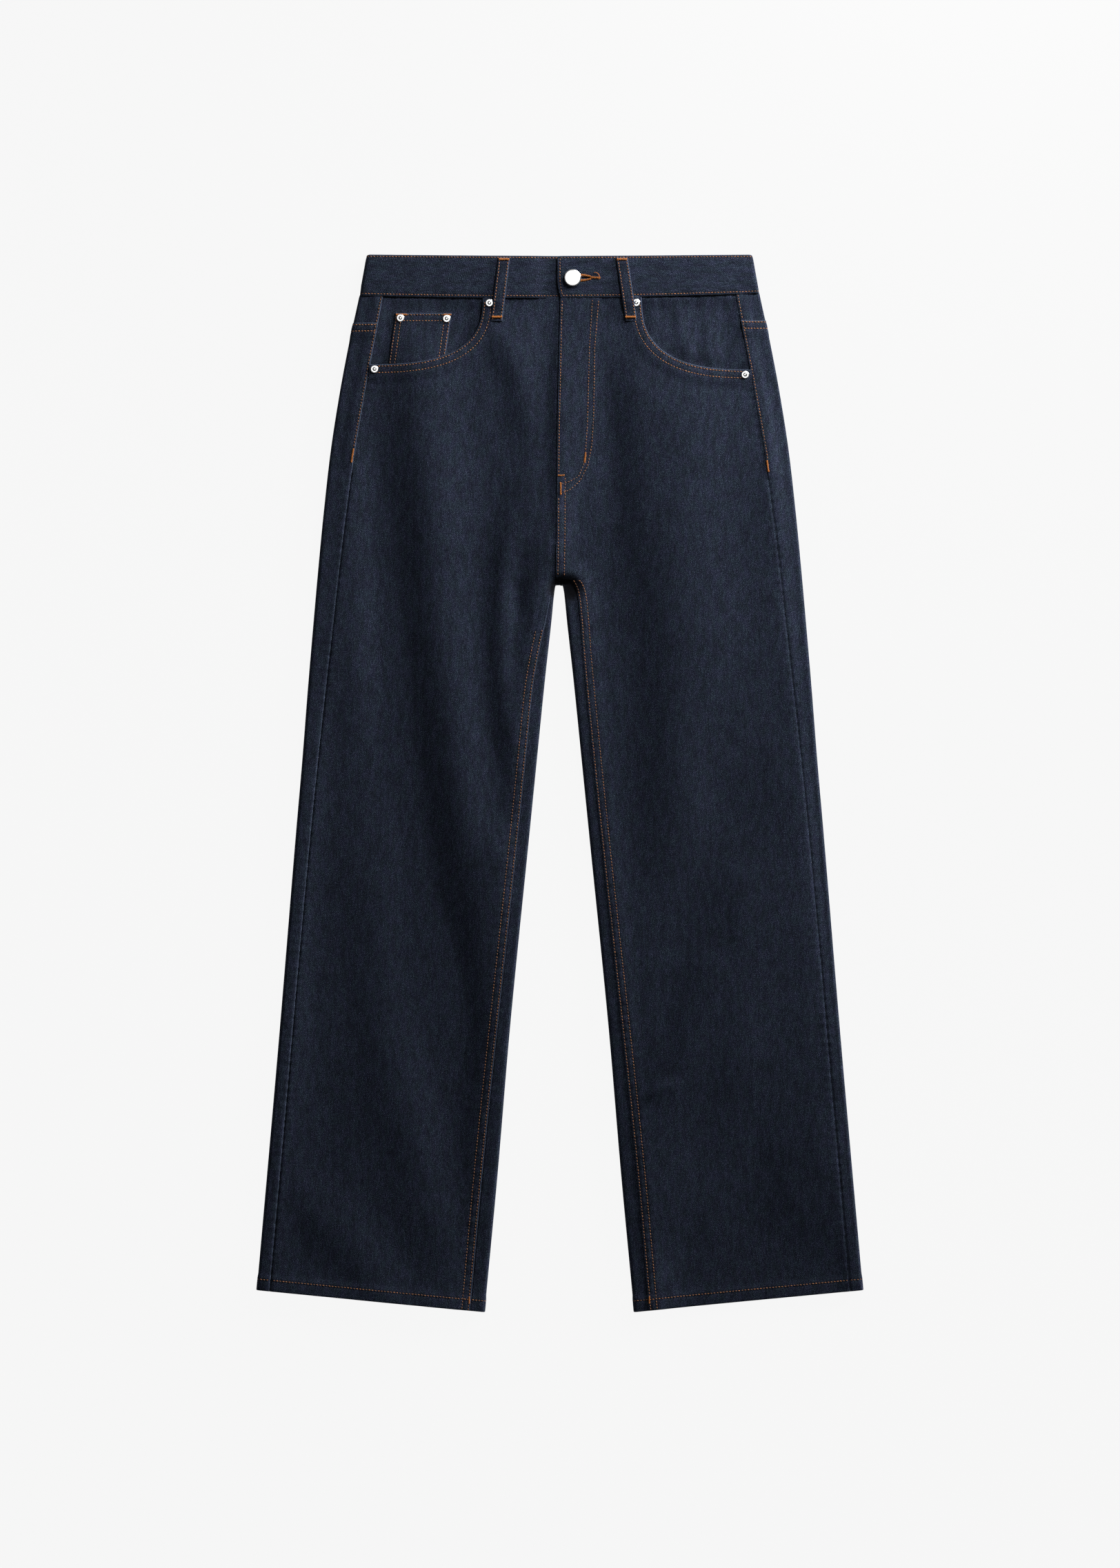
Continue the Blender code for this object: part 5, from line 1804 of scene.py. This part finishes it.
def nearest(grid, x, drop):
    """The highest grid point of those that lie closest to a place, seen from above."""
    far = np.hypot(grid[..., 0] - x, grid[..., 1] - (LENGTH / 2 - drop))
    close = far < far.min() + 0.7
    point = grid[close][np.argmax(grid[close][:, 2])]
    return np.array([x, LENGTH / 2 - drop, point[2]])


def tack_loops(tacks):
    """Bartacks across both ends of every belt loop."""
    lifted = np.array([0, 0, 0.3])
    for top_x, foot_x in LOOPS_FRONT.values():
        grid = front_loop_grid(top_x, foot_x)[0]
        for drop in LOOP_TACKS:
            centre = top_x + (foot_x - top_x) * (drop - LOOP_TOP) / (LOOP_FOOT - LOOP_TOP)
            ends = [nearest(grid, centre + 5.1 * way, drop) + lifted for way in (-1, 1)]
            tacks.tack(*ends, UP, 2.3)
    for centre in LOOPS_BACK.values():
        for drop in LOOP_TACKS:
            y = LENGTH / 2 - drop
            tacks.tack((centre - 5, y, 0.5), (centre + 5, y, 0.5), DOWN, 2.0)


def tack_seams(tacks):
    """Bartacks on the side seams, the fly, the coin pocket and the hems' inseams."""
    fronts = {side: front_grid(side)[0] for side in SIDES}
    coin = coin_grid()[0]
    for side, drops in SIDE_TACK.items():
        back = back_grid(side)[0]
        ends = [nearest(back, side * (side_seam(drop) + STITCH_IN), drop) for drop in drops]
        tacks.tack(*ends, UP, 1.9)
    for start, end, width in FLY_TACKS:
        line, _ = front_line(LEFT, *np.transpose([start, end]), 0.5)
        tacks.tack(line[0], line[-1], UP, width)
    for start, end in COIN_TACKS:
        tacks.tack(nearest(coin, *start), nearest(coin, *end), UP, 1.9)
    drop = LENGTH - STITCH_HEM - 1
    for side in SIDES:
        x = inseam(side, drop) + STITCH_IN
        ends = [nearest(fronts[side], side * x, drop + way) for way in (-3.4, 3.4)]
        tacks.tack(*ends, UP, 1.7)


def tack_patch_pockets(tacks):
    """Bartacks down from the upper corners of the patch pockets."""
    y = LENGTH / 2 - POCKET_DROP
    for side in SIDES:
        for way in (-1, 1):
            x = side * POCKET_CENTRE + way * (POCKET_TOP_WIDTH / 2 - STITCH_IN)
            tacks.tack((x, y - 1, 0.4), (x, y - 11, 0.4), DOWN, 2.0)


def sew_buttonhole():
    """Two layers of threads along both sides of the slit, two tacks over its end, and a curl of
    thread that came loose there: a part of an ellipse that rises as it turns."""
    hole = Sewing(12)
    y, z = LENGTH / 2 - BUTTON_DROP, BAND_TOP + 0.2
    for way in (-1, 1):
        for layer in (0.0, 0.14):
            start, middle, end = (
                (BUTTON_X + reach, y + way * half, z + layer)
                for reach, half in ((3.0, 3.0), (12.5, 2.3), (SLIT_END, 1.1)))
            hole.tack(start, middle, UP, 2.3, thickness=0.6, tone=DULL)
            hole.tack(middle, end, UP, 2.1, thickness=0.6, tone=DULL)
    x = BUTTON_X + SLIT_END
    hole.tack((x - 0.5, y, z), (x + 9.2, y, z), UP, 2.5, 0.6, 0.6, RUST)
    hole.tack((x, y + 0.5, z + 0.3), (x + 7.5, y - 0.4, z + 0.3), UP, 2.0, 0.7, 0.6, RUST)
    turn = np.linspace(-0.6, 2.2, 14)
    curl = np.stack([
        36.2 + 3.4 * np.cos(turn), y + 0.6 + 3.2 * np.sin(turn) + 0.8 * turn,
        z + 0.5 + 0.9 * np.sin(turn + 0.6),
    ], axis=-1)
    steps = np.diff(curl, axis=0)
    hole.rods((curl[:-1] + curl[1:]) / 2, steps, np.broadcast_to(np.array(UP, float), steps.shape),
              1.5 * np.linalg.norm(steps, axis=-1), 0.5, 0.9)
    hole.make("buttonhole_stitches", "bartack_thread")


class BartackOperator(bpy.types.Operator):
    """Sew the bartacks and the buttonhole"""
    bl_idname = "jeans.bartacks"
    bl_label = "Bartacks and buttonhole"

    def execute(self, context):
        tacks = Sewing(9)
        tack_loops(tacks)
        tack_seams(tacks)
        tack_patch_pockets(tacks)
        tacks.make("bartacks", "bartack_thread")
        sew_buttonhole()
        return {"FINISHED"}


class MetalOperator(bpy.types.Operator):
    """Make the rivets and the button"""
    bl_idname = "jeans.metal"
    bl_label = "Rivets and button"

    def execute(self, context):
        fronts = {side: front_grid(side)[0] for side in SIDES}
        coin = coin_grid()[0]
        for word in RIVET_NODES:
            node = "rivet_" + word
            low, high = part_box(node)
            x, y = (low[0] + high[0]) / 2 / MM, (low[1] + high[1]) / 2 / MM
            grid = coin if word.startswith("coin") else fronts[LEFT if x > 0 else RIGHT]
            close = np.hypot(grid[..., 0] - x, grid[..., 1] - y) < 3.4
            mesh = lathe(node + "_turned", RIVET_PROFILE, RIVET_STEPS,
                         (x, y, grid[close][:, 2].mean() + 0.1))
            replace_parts(new_piece(mesh.name, mesh, [finish("silver")]), node)
        centre = (BUTTON_X, LENGTH / 2 - BUTTON_DROP, BAND_TOP + 0.35)
        mesh = lathe("button_turned", BUTTON_PROFILE, BUTTON_STEPS, centre)
        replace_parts(new_piece(mesh.name, mesh, [finish("silver")]), "button")
        return {"FINISHED"}


def make_floor(brightness):
    """A pale floor that shines as bright as it should look."""
    mesh = bpy.data.meshes.new("floor")
    ways = ((-1, -1), (1, -1), (1, 1), (-1, 1))
    mesh.from_pydata([(FLOOR_HALF * x, FLOOR_HALF * y, 0) for x, y in ways], [], [(0, 1, 2, 3)])
    floor = bpy.data.objects.new("floor", mesh)
    floor.location.z = -FLOOR_SINK
    bpy.context.scene.collection.objects.link(floor)
    paint = Shader(bpy.data.materials.new("pale_floor"))
    mesh.materials.append(paint.surface({
        "Base Color": (0.015, 0.015, 0.015, 1),
        "Roughness": 1.0,
        "Specular IOR Level": 0.0,
        "Emission Color": (1.0, 1.0, 1.0, 1),
        "Emission Strength": brightness,
    }))
    paint.owner.cycles.emission_sampling = "NONE"


def make_room(ambient):
    """Light from all round: bright near the horizon, dimmer above and below."""
    room = Shader(bpy.data.worlds.new("studio"))
    bpy.context.scene.world = room.owner
    height = room.axes(room.node("ShaderNodeTexCoord")["Generated"])["Z"]
    shown = height.math("ABSOLUTE").ramp(0.03, 0.12)
    strength = NEAR_WALLS + shown * (ambient - NEAR_WALLS)
    glow = room.node("ShaderNodeBackground", None, {"Color": (1, 1, 1, 1), "Strength": strength})
    room.node("ShaderNodeOutputWorld", None, {"Surface": glow["Background"]})


def make_light(name, place, aim, width, power):
    """A round lamp at a place that faces its aim."""
    lamp = bpy.data.lights.new(name, "AREA")
    lamp.shape = "DISK"
    lamp.size = width
    lamp.energy = power
    light = bpy.data.objects.new(name, lamp)
    light.location = place
    look = mathutils.Vector(aim) - mathutils.Vector(place)
    light.rotation_euler = look.to_track_quat("-Z", "Y").to_euler()
    light.visible_camera = False
    light.visible_diffuse = name != "metal_card"
    bpy.context.scene.collection.objects.link(light)


def make_camera(distance, width):
    """A camera that looks straight down and sees the set width on the garment."""
    scene = bpy.context.scene
    lens = bpy.data.cameras.new("camera")
    camera = bpy.data.objects.new("camera", lens)
    camera.location = (CAMERA_X * MM, CAMERA_Y * MM, distance)
    lens.sensor_width = SENSOR
    lens.lens = SENSOR * (distance - 4 * MM) / (width * FRAME_SHAPE)
    lens.clip_end = 100.0
    scene.collection.objects.link(camera)
    scene.camera = camera
    scene.view_settings.view_transform = "Standard"


class StageOperator(bpy.types.Operator):
    """Make the floor, the lights, the room and the camera"""
    bl_idname = "jeans.stage"
    bl_label = "Stage"

    def execute(self, context):
        settings = context.scene.jeans_studio
        make_floor(settings.floor)
        make_room(settings.ambient)
        make_light("key_light", (4.2, 2.6, 0.7), (0.0, 0.1, 0.0), 1.3, settings.key)
        make_light("hip_light", (0.5, 1.2, 0.5), (0.0, 0.1, 0.0), 0.4, settings.hip)
        make_light("metal_card", (0.0, 0.6, 1.5), (0.0, 0.5, 0.0), 1.15, settings.card)
        make_camera(settings.distance, settings.width)
        return {"FINISHED"}


class JeansPanel(bpy.types.Panel):
    """Lists the operators and the settings"""
    bl_idname = "VIEW3D_PT_jeans"
    bl_label = "Straight leg jeans"
    bl_space_type = "VIEW_3D"
    bl_region_type = "UI"
    bl_category = "Jeans"

    def draw(self, context):
        for group in GROUPS:
            box = self.layout.box()
            settings = getattr(context.scene, group)
            for name in settings.bl_rna.properties.keys():
                if name not in ("rna_type", "name"):
                    box.prop(settings, name)
        for operator in OPERATORS:
            self.layout.operator(operator.bl_idname)


GROUPS = {
    "jeans_cloth": JeansCloth,
    "jeans_thread": JeansThread,
    "jeans_metal": JeansMetal,
    "jeans_studio": JeansStudio,
}
OPERATORS = (
    FrontsOperator, BacksOperator, YokesOperator, WaistbandOperator, PocketsOperator,
    LoopsOperator, TopstitchOperator, BartackOperator, MetalOperator, StageOperator,
)


def register():
    for name, group in GROUPS.items():
        bpy.utils.register_class(group)
        setattr(bpy.types.Scene, name, PointerProperty(type=group))
    for operator in OPERATORS:
        bpy.utils.register_class(operator)
    bpy.utils.register_class(JeansPanel)


def unregister():
    bpy.utils.unregister_class(JeansPanel)
    for operator in reversed(OPERATORS):
        bpy.utils.unregister_class(operator)
    for name in GROUPS:
        delattr(bpy.types.Scene, name)
    for group in reversed(GROUPS.values()):
        bpy.utils.unregister_class(group)


def main():
    register()
    bpy.ops.jeans.fronts()
    bpy.ops.jeans.backs()
    bpy.ops.jeans.yokes()
    bpy.ops.jeans.waistband()
    bpy.ops.jeans.pockets()
    bpy.ops.jeans.loops()
    bpy.ops.jeans.topstitch()
    bpy.ops.jeans.bartacks()
    bpy.ops.jeans.metal()
    bpy.ops.jeans.stage()


if __name__ == "__main__":
    main()
